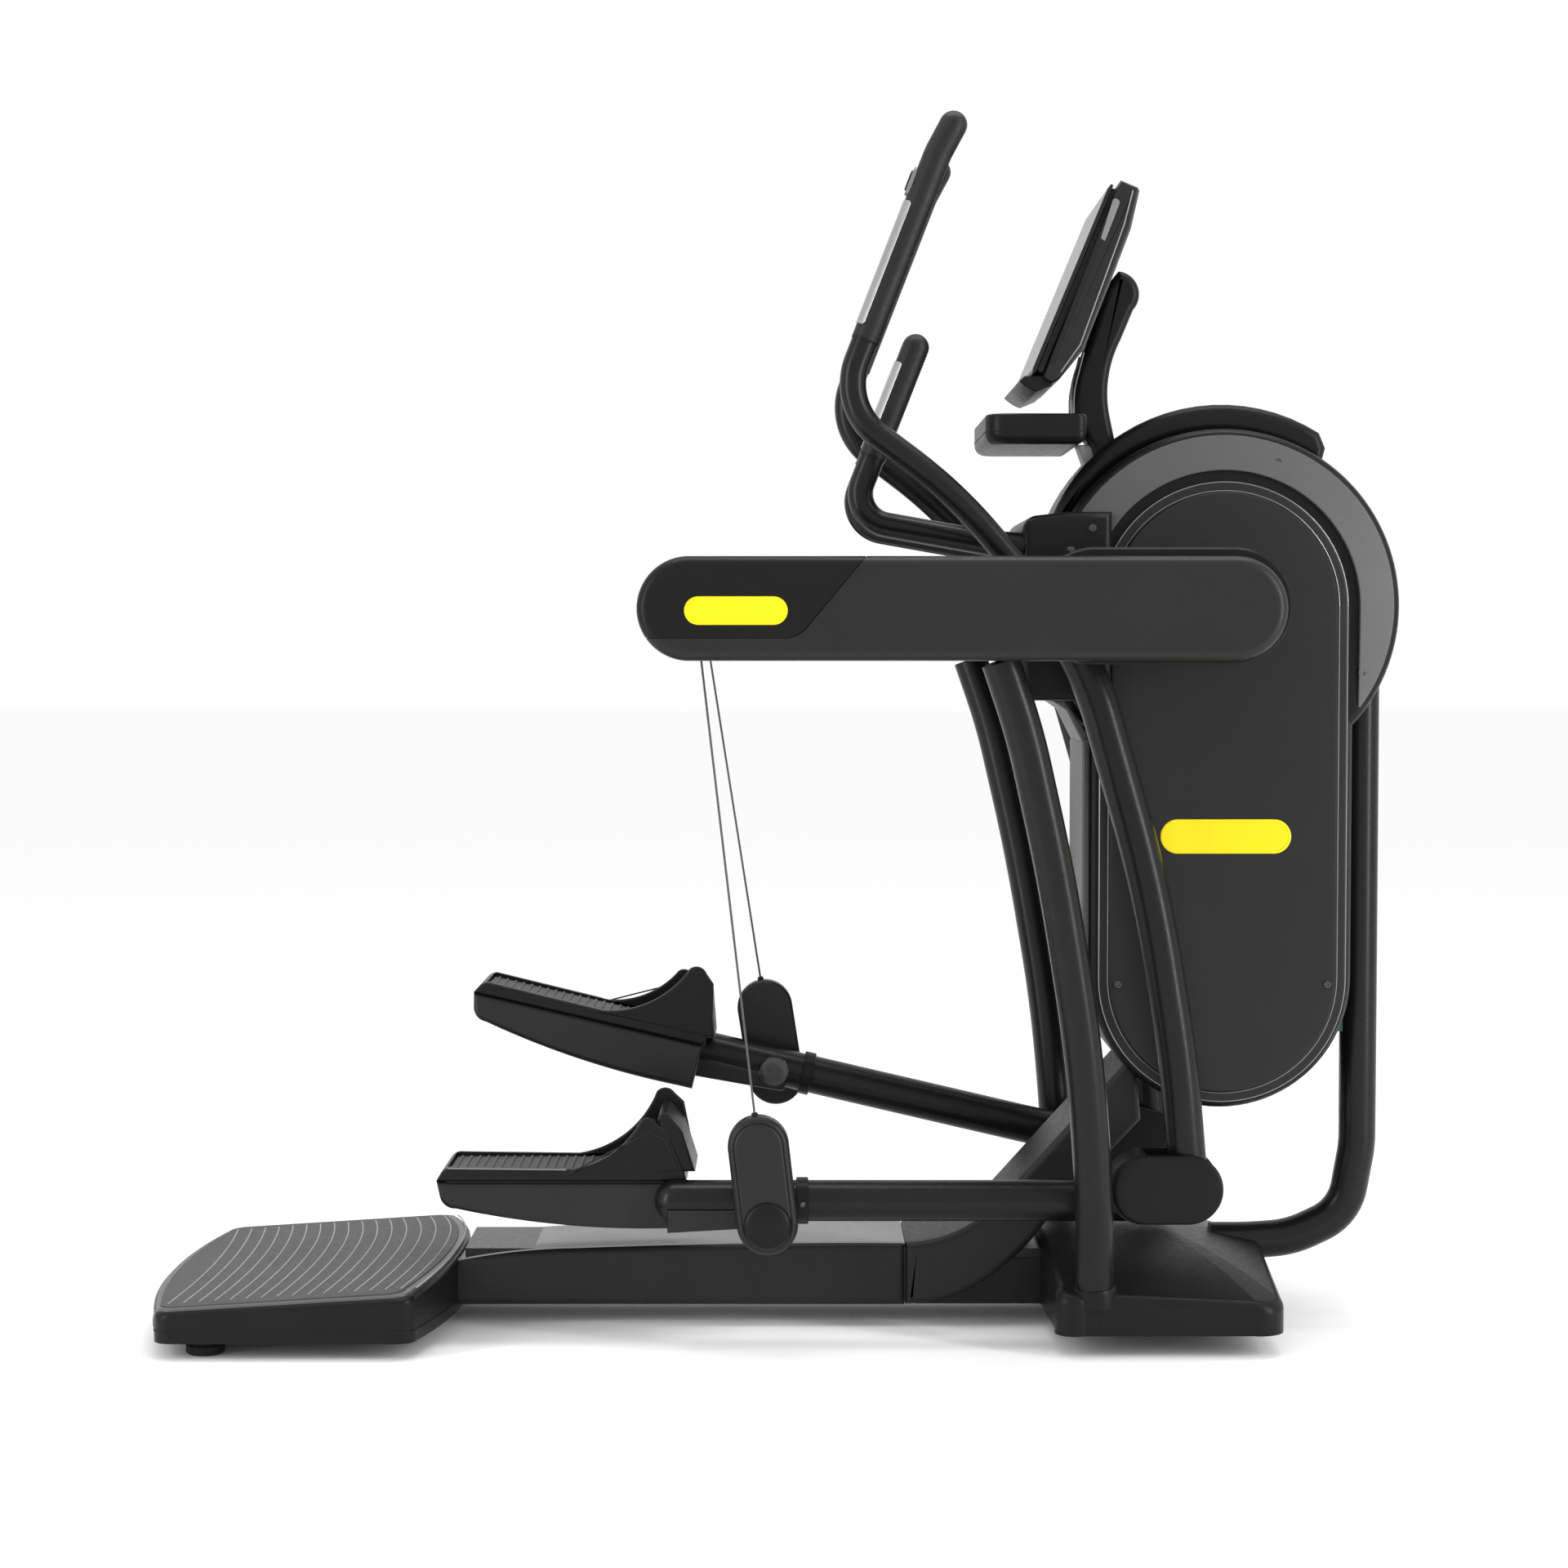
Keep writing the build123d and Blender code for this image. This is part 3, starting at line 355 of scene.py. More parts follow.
def finish_material(name, dark, light, rough, grain, metal=0.0, coat=0.0, stretch=(1, 1, 1),
                    cell=False, mottle=9.0, shine=0.3):
    """Base for all finishes: slow colour drift, fine roughness change and a fine bump.

    rough is (least, most); grain is (repeats per metre, strength, depth in millimetres).
    """
    material = bpy.data.materials.new(name)
    material.use_nodes = True
    tree = material.node_tree
    shader = tree.nodes["Principled BSDF"]
    drift = texture(tree, "ShaderNodeTexNoise", mottle, Detail=5.0, Roughness=0.6)
    wear = texture(tree, "ShaderNodeTexNoise", mottle * 14, stretch, Detail=3.0)
    tree.links.new(blended(tree, drift.outputs["Fac"], dark, light), shader.inputs["Base Color"])
    tree.links.new(remapped(tree, wear.outputs["Fac"], *rough), shader.inputs["Roughness"])
    kind = "ShaderNodeTexVoronoi" if cell else "ShaderNodeTexNoise"
    fine = texture(tree, kind, grain[0], stretch)
    bump = tree.nodes.new("ShaderNodeBump")
    bump.inputs["Strength"].default_value = grain[1]
    bump.inputs["Distance"].default_value = grain[2] * MM
    tree.links.new(fine.outputs["Distance" if cell else "Fac"], bump.inputs["Height"])
    tree.links.new(bump.outputs["Normal"], shader.inputs["Normal"])
    shader.inputs["Metallic"].default_value = metal
    shader.inputs["Specular IOR Level"].default_value = shine
    shader.inputs["Coat Weight"].default_value = coat
    shader.inputs["Coat Roughness"].default_value = 0.22
    return material


def grey(value, tint=0.0):
    return (value, value, value * (1 + tint))


POWDER = finish_material("powder_coat", grey(0.004), grey(0.007), (0.26, 0.34), (1500, 0.25, 0.12),
                         shine=0.22)
COVER = finish_material("black_moulding", grey(0.004), grey(0.007), (0.32, 0.42), (1300, 0.35, 0.1),
                        cell=True, shine=0.16)
PANEL = finish_material("satin_panel", grey(0.009), grey(0.013), (0.34, 0.44), (1600, 0.25, 0.08), cell=True,
                        shine=0.24)
SPINE = finish_material("grey_moulding", grey(0.011), grey(0.016), (0.40, 0.52), (1300, 0.35, 0.1), cell=True,
                        shine=0.2)
# Mid grey. On the spine's top it is painted light, making the top lighter than the near-black sides as if lit
# from above. On the tray bracket it is the bracket's own grey trim.
LIT_TOP_AND_TRIM_GREY = finish_material("lit_top_and_trim_grey", grey(0.24), grey(0.30), (0.42, 0.52), (1300, 0.3, 0.08), cell=True)
TRIM = finish_material("grey_trim", grey(0.055), grey(0.07), (0.34, 0.42), (1500, 0.25, 0.08), cell=True,
                       shine=0.5)
# Pale metallic grey for thin lines. On the panel rims, the console edge and shine, the mast edge and the
# pedal lip it is a painted highlight along edges. On the switch collar it is the collar's own bright trim.
HIGHLIGHT_AND_TRIM = finish_material("edge_highlight_and_trim", grey(0.20), grey(0.26), (0.28, 0.38), (1500, 0.2, 0.05), metal=0.6)
DECK = finish_material("step_deck", grey(0.045), grey(0.06), (0.50, 0.62), (900, 0.5, 0.25), cell=True)
# Light grey for the step's ribs: a painted highlight standing for the light caught along the ribs.
RIB_PAINTED_HIGHLIGHT = finish_material("step_rib_highlight", grey(0.26), grey(0.34), (0.5, 0.6), (900, 0.4, 0.1))
RUBBER = finish_material("rubber", grey(0.007), grey(0.012), (0.62, 0.78), (700, 0.5, 0.25), shine=0.2)
MAT = finish_material("ribbed_mat", grey(0.05), grey(0.08), (0.55, 0.7), (800, 0.5, 0.2))
GRIP = finish_material("grip_foam", grey(0.005), grey(0.008), (0.42, 0.54), (1900, 0.45, 0.12), cell=True)
STEEL = finish_material("brushed_steel", grey(0.34), grey(0.44), (0.24, 0.34), (500, 0.2, 0.05), metal=1.0,
                        stretch=(1, 8, 0.3))
DARK_STEEL = finish_material("dark_steel", grey(0.06), grey(0.09), (0.26, 0.38), (900, 0.25, 0.05), metal=1.0)
CABLE = finish_material("steel_cable", grey(0.06), grey(0.12), (0.35, 0.45), (2500, 0.5, 0.2), metal=0.9)
IRON = finish_material("cast_iron", grey(0.05), grey(0.08), (0.5, 0.65), (400, 0.5, 0.3), metal=0.8)
ALLOY = finish_material("turned_alloy", grey(0.45), grey(0.55), (0.3, 0.4), (800, 0.2, 0.05), metal=1.0)
GLASS = finish_material("display_glass", grey(0.004), grey(0.006), (0.16, 0.22), (60, 0.02, 0.02), shine=0.1)
BADGE = finish_material("yellow_badge", (0.76, 0.60, 0.0), (0.82, 0.66, 0.0), (0.42, 0.52),
                        (1500, 0.15, 0.05))
CIRCUIT = finish_material("circuit_board", (0.01, 0.05, 0.02), (0.02, 0.07, 0.03), (0.4, 0.6),
                          (700, 0.4, 0.2), cell=True)

CAD_FINISH = {
    "frame_steel": POWDER, "black_tube": POWDER, "black_cover": COVER, "satin_cover": PANEL,
    "grey_cover": SPINE, "grey_trim": TRIM, "screen_glass": GLASS, "rubber": RUBBER,
    "grip_plastic": GRIP, "sensor_steel": STEEL, "shaft_steel": DARK_STEEL, "flywheel_iron": IRON,
    "pulley_alloy": ALLOY, "pulley_plastic": COVER, "cable_steel": CABLE,
    "electric_plastic": CIRCUIT, "pedal_plastic": COVER,
}
for row in frame["record"]["subparts"]:
    held = NODES[row["node"]]
    held.data.materials.clear()
    held.data.materials.append(CAD_FINISH[row["material_slot"]])


# ---- camera, floor and light ------------------------------------------------------------
def camera():
    data = bpy.data.cameras.new("camera")
    data.lens = 70
    data.sensor_width = 36
    data.clip_end = 60
    obj = bpy.data.objects.new("camera", data)
    obj.location = (0.013, -4.46, 0.9755)
    obj.rotation_euler = (radians(87.5), 0, 0)
    bpy.context.scene.collection.objects.link(obj)
    bpy.context.scene.camera = obj


def floor():
    mesh = bpy.data.meshes.new("floor")
    size = 45
    mesh.from_pydata([(-size, -size, 0), (size, -size, 0), (size, size, 0), (-size, size, 0)], [],
                     [(0, 1, 2, 3)])
    obj = bpy.data.objects.new("floor", mesh)
    paint = finish_material("pale_floor", grey(0.955), grey(0.97), (0.8, 0.9), (80, 0.05, 0.1), shine=0.0)
    mesh.materials.append(paint)
    bpy.context.scene.collection.objects.link(obj)


def lamp(name, place, target, size, power):
    """Soft rectangular light aimed at a point."""
    data = bpy.data.lights.new(name, "AREA")
    data.shape = "RECTANGLE"
    data.size, data.size_y = size
    data.energy = power
    obj = bpy.data.objects.new(name, data)
    obj.location = place
    obj.rotation_euler = (Vector(target) - Vector(place)).to_track_quat("-Z", "Y").to_euler()
    bpy.context.scene.collection.objects.link(obj)


def lights():
    bpy.context.scene.view_settings.view_transform = "Standard"
    world = bpy.data.worlds.new("studio")
    world.use_nodes = True
    world.node_tree.nodes["Background"].inputs["Color"].default_value = (1, 1, 1, 1)
    world.node_tree.nodes["Background"].inputs["Strength"].default_value = 1.0
    bpy.context.scene.world = world
    lamp("top", (0.3, -0.1, 3.6), (0.3, 0, 0.6), (3.0, 0.6), 45)
    lamp("left", (-3.2, -2.2, 1.5), (0.1, 0, 0.9), (0.22, 3.2), 62)
    lamp("right", (3.4, -2.2, 1.7), (0.5, 0, 0.9), (0.3, 3.2), 90)


camera()
floor()
lights()


# ---- standing frame --------------------------------------------------------------------
def standing_frame():
    rise = (335.0 - 270.0) / (961.6 - 40)
    flat = [(306, 961.6), (340, 862), (386, 660), (424, 430), (440, 250), (444, 70)]
    for side, place in FIXED_SIDES.items():
        legs = [(x, -270 - (z - 40) * rise, z) for x, z in flat]
        bm = pipe(bmesh.new(), bent(legs), 26.5)
        piece("leg_tube_" + side, bm, POWDER, "frame", "black_tube", ["leg_tubes"], place)
        collar = pipe(bmesh.new(), [(444, -273.5, 70), (443.4, -274.5, 92), (443, -275, 97)],
                      [31, 30.5, 27.5])
        piece("leg_collar_" + side, collar, COVER, "frame", "black_cover", place=place)
    tail = [(856, 1000), (856, 250), (838, 150), (760, 113), (700, 108), (640, 108)]
    bm = pipe(bmesh.new(), bent(at_y(tail, 0), [190, 130, 300, 900]), 27)
    piece("tail_tube_sweep", bm, POWDER, "frame", "black_tube", ["tail_tube"])


# ---- floor pieces ------------------------------------------------------------------------
def step_plan(grow=0.0):
    """Plan of the rear step: straight sides, bulging front and rear."""
    half, rear, front = 310 + grow, -857 - grow * 0.3, -494 + grow
    return outline((rear + 26, -half), (front - 26, -half), [(front - 7, -half + 8), (front, -half + 26)],
                   [(-454 + grow, 0), (front, half - 26)], [(front - 7, half - 8), (front - 26, half)],
                   (rear + 26, half), [(rear + 7, half - 8), (rear, half - 26)],
                   [(-892 - grow, 0), (rear, -half + 26)], [(rear + 7, -half + 8), (rear + 26, -half)])


def deck_height(x, y):
    """The step rises towards the machine and is a little crowned."""
    return 64 + (x + 892) * 26 / 438 + 12 * (1 - (y / 310) ** 2) * (x + 892) / 438


def rear_step():
    body = raised_plate(bmesh.new(), step_plan(0), 24, lambda x, y: deck_height(x, y), 9, 3)
    piece("step_shell", body, COVER, "frame", "black_cover", ["step_base", "step_deck"])
    border = raised_plate(bmesh.new(), step_plan(-7), 60, lambda x, y: deck_height(x, y) + 3.0, 3, 3)
    piece("step_border", border, TRIM, "frame", "grey_cover")
    field = raised_plate(bmesh.new(), step_plan(-17), 60, lambda x, y: deck_height(x, y) + 4.6, 1.5, 8)
    piece("step_field", field, DECK, "frame", "grey_cover")
    # The ribs are real. Their light grey is a painted highlight.
    for k in range(17):
        rib = bmesh.new()
        front = -486 - 21.5 * k
        bulge = 34 - 1.2 * k
        half = 270
        spots = [-half + 2 * half * i / 24 for i in range(25)]
        path = [(front + bulge * (1 - (y / half) ** 2) - 10, y, 0) for y in spots]
        path = [(x, y, deck_height(x, y) + 4.4) for x, y, _ in path]
        pipe(rib, path, 1.1, 10, True, True)
        piece(f"step_rib_highlight_{k + 1:02d}", rib, RIB_PAINTED_HIGHLIGHT, "frame", "grey_cover")
    seam = bmesh.new()
    plan = step_plan(0.4)
    pipe(seam, [(x, y, 40) for x, y in plan], 0.9, 8)
    piece("step_seam", seam, RUBBER, "frame", "black_cover")
    for k, (x, y, r) in enumerate([(-792, -255, 27), (-792, 255, 27), (500, -125, 26), (500, 125, 26),
                                   (610, -125, 26), (610, 125, 26)]):
        pad = bmesh.new()
        loops = [(r - 3, 0), (r, 3), (r, 12), (r - 4, 15), (r - 6, 24.5 if x < 0 else 35)]
        rings(pad, [[((x + q * cos(2 * pi * i / 48)) * MM, (y + q * sin(2 * pi * i / 48)) * MM, z * MM)
                     for i in range(48)] for q, z in loops])
        piece(f"foot_{k + 1}", pad, RUBBER, "frame", "rubber", ["rubber_feet"])


def spine():
    side = outline((-476, 30), (-476, 92), [(-380, 108), (-285, 114)], [(-60, 120), (187.2, 121)],
                   (187.2, 30))
    bm = prism(bmesh.new(), side, -90, 90, 11, 11, 6)
    piece("spine_shell", bm, SPINE, "frame", "grey_cover", ["spine_cover"])
    # Painted light: a thin mid-grey plate over the spine's top, much lighter than the near-black sides,
    # stands for the top lit from above.
    lit_top = outline((-474, 93), [(-380, 108.9), (-285, 114.9)], [(-60, 120.9), (187.2, 121.9)],
                     (187.2, 118), [(-60, 117), (-285, 111)], [(-380, 105), (-474, 88)])
    piece("spine_top_painted_light", prism(bmesh.new(), lit_top, -84, 84), LIT_TOP_AND_TRIM_GREY, "frame", "grey_cover")
    ramp = outline((188.2, 31), [(262, 44), (328, 84)], [(366, 119), (400, 163)], (528, 300),
                   (519, 398), (328, 187), [(262, 137), (188.2, 121)])
    bm = prism(bmesh.new(), ramp, -90, 90, 11, 11, 6)
    piece("ramp_shell", bm, SPINE, "frame", "black_cover", ["ramp_cover"])
    low = bmesh.new()
    box_form(low, 200, 392, -83, 83, 31, 100, 3)
    piece("spine_front", low, COVER, "frame", "black_cover")


def base_block():
    plan = outline((384, -80), (391, -262), [(396, -294), (430, -297)], (660, -297),
                   [(695, -288), (706, -255)], (712, 0), (706, 255), [(695, 288), (660, 297)],
                   (430, 297), [(396, 294), (391, 262)], (384, 80))

    def height(x, y):
        crown = 134 - 46 * (abs(y) / 297) ** 1.8
        fall = max(0.0, (x - 560) / 152)
        return crown - 20 * fall ** 1.6
    bm = raised_plate(bmesh.new(), plan, 32, height, 12, 8, 6)
    piece("base_shell", bm, COVER, "frame", "black_cover", ["base_cover"])
    for side, place in FIXED_SIDES.items():
        seam = bmesh.new()
        pipe(seam, [(452, -297.2, 34), (452, -297.2, 76), (452, -290, 87)], 0.9, 8)
        piece("base_seam_" + side, seam, RUBBER, "frame", "black_cover", place=place)


# ---- housing -------------------------------------------------------------------------------
def polar(r, a):
    return HUB[0] + r * cos(radians(a)), HUB[1] + r * sin(radians(a))


def housing():
    disc = [(DISC_R - 40, -0.4), (DISC_R - 1.2, -0.4), (DISC_R, -1.6), (DISC_R, -96), (DISC_R - 2, -102),
            (DISC_R - 6, -107), (DISC_R - 13, -110), (190, -110)]
    foot = [(BODY_R - 30, -0.4), (BODY_R, -0.4), (BODY_R, -97), (BODY_R - 2, -103), (BODY_R - 6, -108),
            (BODY_R - 12, -110)]
    rise = [(r, y) for r, y in ((PANEL_R, -108), (PANEL_R, -115), (PANEL_R - 1.5, -117.5),
                                (PANEL_R - 4, -118.6), (PLATEAU_R + 4, -118.6), (PLATEAU_R + 2, -119.5),
                                (PLATEAU_R + 1, -124), (PLATEAU_R - 1, -126.2), (PLATEAU_R - 5, -127),
                                (PLATEAU_R - 30, -127))]
    for side, place in FIXED_SIDES.items():
        piece("housing_disc_" + side, disc_form(bmesh.new(), HUB, disc, 128), COVER, "frame",
              "black_cover", ["housing_shells"], place)
        piece("housing_foot_" + side, stadium_form(bmesh.new(), LOWER, HUB, foot), COVER, "frame",
              "black_cover", place=place)
        piece("side_panel_" + side, stadium_form(bmesh.new(), LOWER, HUB, rise), PANEL, "frame",
              "satin_cover", ["side_panels"], place)
        crescent(side, place)
        # Painted highlights: two thin pale rings on the panel's rounded edges stand for the light caught
        # there.
        for k, (r, y) in enumerate(((PLATEAU_R + 2.6, -119.4), (PANEL_R - 0.9, -117.2))):
            path = stadium(LOWER, HUB, r)
            rim = pipe(bmesh.new(), at_y(path + path[:1], y), 0.9, 8)
            piece(f"panel_rim_highlight_{side}_{k + 1}", rim, HIGHLIGHT_AND_TRIM, "frame", "satin_cover", place=place)
        for k, (x, z, seat) in enumerate(((714, 1243.5, 113), (448, 1148.5, 150), (836, 945, 113),
                                          (490, 500, 127), (788, 500, 127))):
            head = [(6.2, -seat + 1), (6.2, -seat - 1.2), (5.2, -seat - 2.6), (2.6, -seat - 2.8),
                    (2.4, -seat - 1.0)]
            piece(f"screw_{side}_{k + 1}", disc_form(bmesh.new(), (x, z), head, 32), DARK_STEEL,
                  "frame", "shaft_steel", ["housing_screws"], place)


def crescent(side, place):
    """Grey plate round the disc, sloping outwards and ending in a point below at the front."""
    loops = []
    for a in [152 - 4 * k for k in range(46)] + [-30.5, -33.5, -36.2]:
        out = polar(243, a)
        inner = polar(193, a) if a > 0 else (min(HUB[0] + 193, out[0] - 0.4), out[1])
        width = hypot(out[0] - inner[0], out[1] - inner[1])
        rise = 9.5 * width / 50
        rim = min(1.2, width / 3)
        near = [(out[0] + (inner[0] - out[0]) * f, out[1] + (inner[1] - out[1]) * f)
                for f in (rim / width, 1 - rim / width)]
        corners = [(out, -109.4), (out, -110.3), (near[0], -111.2), (near[1], -111 - rise),
                   (inner, -110.2 - rise), (inner, -109.4)]
        loops.append([(x * MM, y * MM, z * MM) for (x, z), y in corners])
    piece("crescent_" + side, rings(bmesh.new(), loops), TRIM, "frame", "grey_trim", ["accent_trims"], place)


def top_cap():
    def band(grow):
        first = polar(289 + grow, 60)
        return outline(first, [polar(289 + grow, 105), polar(273 + grow, 152)], polar(250, 152),
                       [polar(250, 105), polar(250, 54)], polar(275 + grow, 56))
    bm = prism(bmesh.new(), band(0), -62, 62, 14, 14, 6)
    piece("top_cap_band", bm, COVER, "frame", "black_cover", ["housing_top_cap"])


def nose():
    face = outline((352, 905), (345, 1040), (350, 1140), [(356, 1160), (372, 1167)], (416, 1172),
                   (476, 1172), (476, 905))
    bm = prism(bmesh.new(), face, -150, 150, 12, 12, 6)
    piece("nose_shell", bm, COVER, "frame", "black_cover", ["pivot_housing"])
    rear = outline((452, 470), (452, 850), (446, 850), [(441, 845), (440, 836)], (440, 486),
                   [(441, 475), (446, 470)])
    piece("rear_cover_shell", prism(bmesh.new(), rear, -96, 96, 4, 4), TRIM, "frame", "grey_trim",
          ["housing_rear_cover"])
    shield = outline((399, 903), (416, 905), (452, 852), (452, 846), (440, 846), (418, 890))
    piece("rear_shield", prism(bmesh.new(), shield, -88, 88, 3, 3), TRIM, "frame", "grey_trim")


def badge(name, x0, x1, z0, z1, y, body):
    """Plain yellow plate with round ends and a narrow rim, with no lettering."""
    r = (z1 - z0) / 2 - 1
    ends = ((x0 + r + 1, z0 + r + 1), (x1 - r - 1, z0 + r + 1))
    plate = [(r - 3, y + 0.4), (r - 3, y - 0.7), (r - 3.4, y - 0.95), (r - 5, y - 1.0)]
    piece(name, stadium_form(bmesh.new(), *ends, plate), BADGE, body, "satin_cover")
    rim = [(r - 3.2, y + 0.4), (r, y + 0.4), (r + 1, y), (r + 0.6, y - 0.9), (r - 0.6, y - 1.5),
           (r - 2.6, y - 1.5), (r - 3.2, y - 1.1)]
    loops = []
    for radius, depth in rim:
        loops.append([(x * MM, depth * MM, z * MM) for x, z in stadium(*ends, radius)])
    bm = bmesh.new()
    rows = [[bm.verts.new(p) for p in loop] for loop in loops]
    for a, b in zip(rows, rows[1:] + rows[:1]):
        for k in range(len(a)):
            n = (k + 1) % len(a)
            bm.faces.new((a[k], a[n], b[n], b[k]))
    piece(name + "_rim", bm, BADGE, body, "satin_cover")


# ---- beams -----------------------------------------------------------------------------------
def beam_profile():
    soft = [(BEAM_R - 16 * (1 - cos(a)), -384 - 16 * sin(a)) for a in (pi / 2 * k / 8 for k in range(9))]
    return [(BEAM_R - 6, -346.3), (BEAM_R - 1, -346.3), (BEAM_R, -347.3)] + soft


def cap_cutter(grow):
    return outline((146 + grow, 1130), (42 + grow, 1006 - grow), [(30 + grow, 997 - grow), (10, 993 - grow)],
                   (-230, 993 - grow), (-230, 1130))


def beams():
    ends = (BEAM_REAR + BEAM_R, BEAM_Z), (BEAM_FRONT - BEAM_R, BEAM_Z)
    for side, place in FIXED_SIDES.items():
        cover = piece("beam_cover_" + side, stadium_form(bmesh.new(), *ends, beam_profile()), PANEL,
                      "frame", "satin_cover", ["beam_covers"])
        carved(cover, prism(bmesh.new(), cap_cutter(0.9), -410, -340))
        cap = piece("beam_cap_" + side, stadium_form(bmesh.new(), *ends, beam_profile()), COVER,
                    "frame", "satin_cover", ["beam_rear_caps"])
        keep = outline((146, 1130), (42, 1006), [(30, 997), (10, 993)], (-230, 993), (-230, 940),
                       (720, 940), (720, 1130))
        carved(cap, prism(bmesh.new(), keep, -410, -340))
        for obj in (cover, cap):
            obj.data.transform(place)
            if place.determinant() < 0:
                obj.data.flip_normals()
        bed = [(BEAM_R - 3, -347.5), (BEAM_R - 3, -388), (BEAM_R - 8, -394), (BEAM_R - 20, -396)]
        piece("beam_bed_" + side, stadium_form(bmesh.new(), *ends, bed), RUBBER, "frame",
              "black_cover", place=place)
        inner = [(BEAM_R - 10, -346), (BEAM_R, -346), (BEAM_R, -294), (BEAM_R - 2, -291.5),
                 (BEAM_R - 6, -290)]
        piece("beam_inner_" + side, stadium_form(bmesh.new(), *ends, inner), COVER, "frame",
              "black_cover", ["beam_inners"], place)
        bulge = [(70, -345.7), (76, -345.7), (79, -343), (79, -297), (77, -293), (72, -290)]
        piece("beam_bulge_" + side, stadium_form(bmesh.new(), (431, 1036), (620, 1036), bulge), COVER,
              "frame", "black_cover", place=place)
        pod = [(66, -290), (70, -290), (70, -256), (67, -248), (61, -243.5), (52, -242)]
        piece("beam_pod_" + side, stadium_form(bmesh.new(), (-114, BEAM_Z), (-28, BEAM_Z), pod), COVER,
              "frame", "black_cover", place=place)
        knob = [(4, -330), (5, -326), (5, -300), (4, -296)]
        piece("beam_pin_" + side, disc_form(bmesh.new(), (402, 1112), knob, 24), DARK_STEEL, "frame",
              "shaft_steel", place=place)


# ---- handles -----------------------------------------------------------------------------------
def band(bm, start, stop, y, r, width, thick=1.4, steps=10):
    """Curved metal strip on the user's side of a round grip."""
    a, b = Vector((start[0], y, start[1])), Vector((stop[0], y, stop[1]))
    along = (b - a).normalized()
    out = Vector((0, 1, 0)).cross(along)
    if out.x > 0:
        out = -out
    across = Vector((0, 1, 0))
    half = width / 2 / r
    loops = []
    for shift, shrink in ((0, 0.86), (0.018, 1), (0.982, 1), (1, 0.86)):
        centre = a.lerp(b, shift)
        angles = [-half * shrink + 2 * half * shrink * i / steps for i in range(steps + 1)]
        outer = [(centre + (out * cos(t) + across * sin(t)) * (r + thick)) * MM for t in angles]
        inner = [(centre + (out * cos(t) + across * sin(t)) * (r - 0.3)) * MM for t in angles[::-1]]
        loops.append(outer + inner)
    return rings(bm, loops)


def fixed_handlebars():
    path = bent(at_y([(199, 1404), (104.3, 1163.4), (366, 1116.8)], -BAR_Y), [45], 4)
    for side, place in FIXED_SIDES.items():
        piece("fixed_bar_" + side, pipe(bmesh.new(), path, 18, round_start=True), POWDER, "frame",
              "black_tube", ["fixed_handlebars"], place)
        top, low = Vector((199, -BAR_Y, 1404)), Vector((139, -BAR_Y, 1251.5))
        sleeve = pipe(bmesh.new(), [top, low], 19.2, round_start=True)
        piece("fixed_grip_" + side, sleeve, GRIP, "frame", "grip_plastic", place=place)
        ring = pipe(bmesh.new(), [low, low + (low - top).normalized() * 3.5], 19.6)
        piece("fixed_collar_" + side, ring, COVER, "frame", "black_cover", place=place)
        sensor = band(bmesh.new(), (188.5, 1377.5), (147, 1272), -BAR_Y, 19.2, 42)
        piece("fixed_sensor_" + side, sensor, STEEL, "frame", "sensor_steel", ["pulse_sensors"], place)
        boot = pipe(bmesh.new(), [(322, -BAR_Y, 1124.5), (352, -BAR_Y, 1119.2)], [20.5, 24])
        piece("fixed_boot_" + side, boot, COVER, "frame", "black_cover", place=place)


def levers():
    handle = bent(at_y([(226, 1663), (89.8, 1314.8), (250, 1195), PIVOT], -LEVER_Y), [90, 700], 4)
    lower = bent(at_y([PIVOT, (444, 930), (527, 640), (566, 400), (FOOT[0] + 1, 262)], -LEVER_Y), None, 5)
    lower.append(Vector((FOOT[0], -LEVER_Y, FOOT[1] + 2)))
    low = Vector((126, -LEVER_Y, 1407))
    grip_path = bent(at_y([(247, 1702), (226, 1663), (126, 1407)], -LEVER_Y), [90], 3)
    for side, place in FIXED_SIDES.items():
        body = "lever_" + side
        tube = [body, "black_tube", ["lever_tube_" + side], place]
        piece("lever_handle_" + side, pipe(bmesh.new(), handle, HANDLE_R), POWDER, *tube)
        piece("lever_lower_" + side, pipe(bmesh.new(), lower, LEVER_R, 48), POWDER, *tube)
        hub = [(26, -245), (31, -244), (34, -240), (34, -178), (31, -174), (26, -173)]
        piece("lever_hub_" + side, disc_form(bmesh.new(), PIVOT, hub), COVER, *tube)
        foot = [(18, -235), (23, -234.5), (25, -232), (25, -186), (23, -183.5), (18, -183)]
        piece("lever_foot_" + side, disc_form(bmesh.new(), FOOT, foot), COVER, *tube)
        piece("lever_sleeve_" + side, pipe(bmesh.new(), grip_path, GRIP_R, round_start=True), GRIP, body,
              "grip_plastic", ["lever_grip_" + side], place)
        lean = Vector((100, 0, 256)).normalized()
        ring = pipe(bmesh.new(), [low, low - lean * 4], [19.9, 19.2])
        piece("lever_collar_" + side, ring, COVER, body, "grip_plastic", place=place)
        sensor = band(bmesh.new(), (198, 1591), (132, 1422.4), -LEVER_Y, GRIP_R, 43)
        piece("lever_strip_" + side, sensor, STEEL, body, "sensor_steel", ["lever_sensor_" + side], place)
        thumb_switch(side, place)


def switch_place():
    lean = atan2(100, 256)
    return (Matrix.Translation(Vector((208, -LEVER_Y, 1617)) * MM) @ Matrix.Rotation(lean, 4, "Y"))


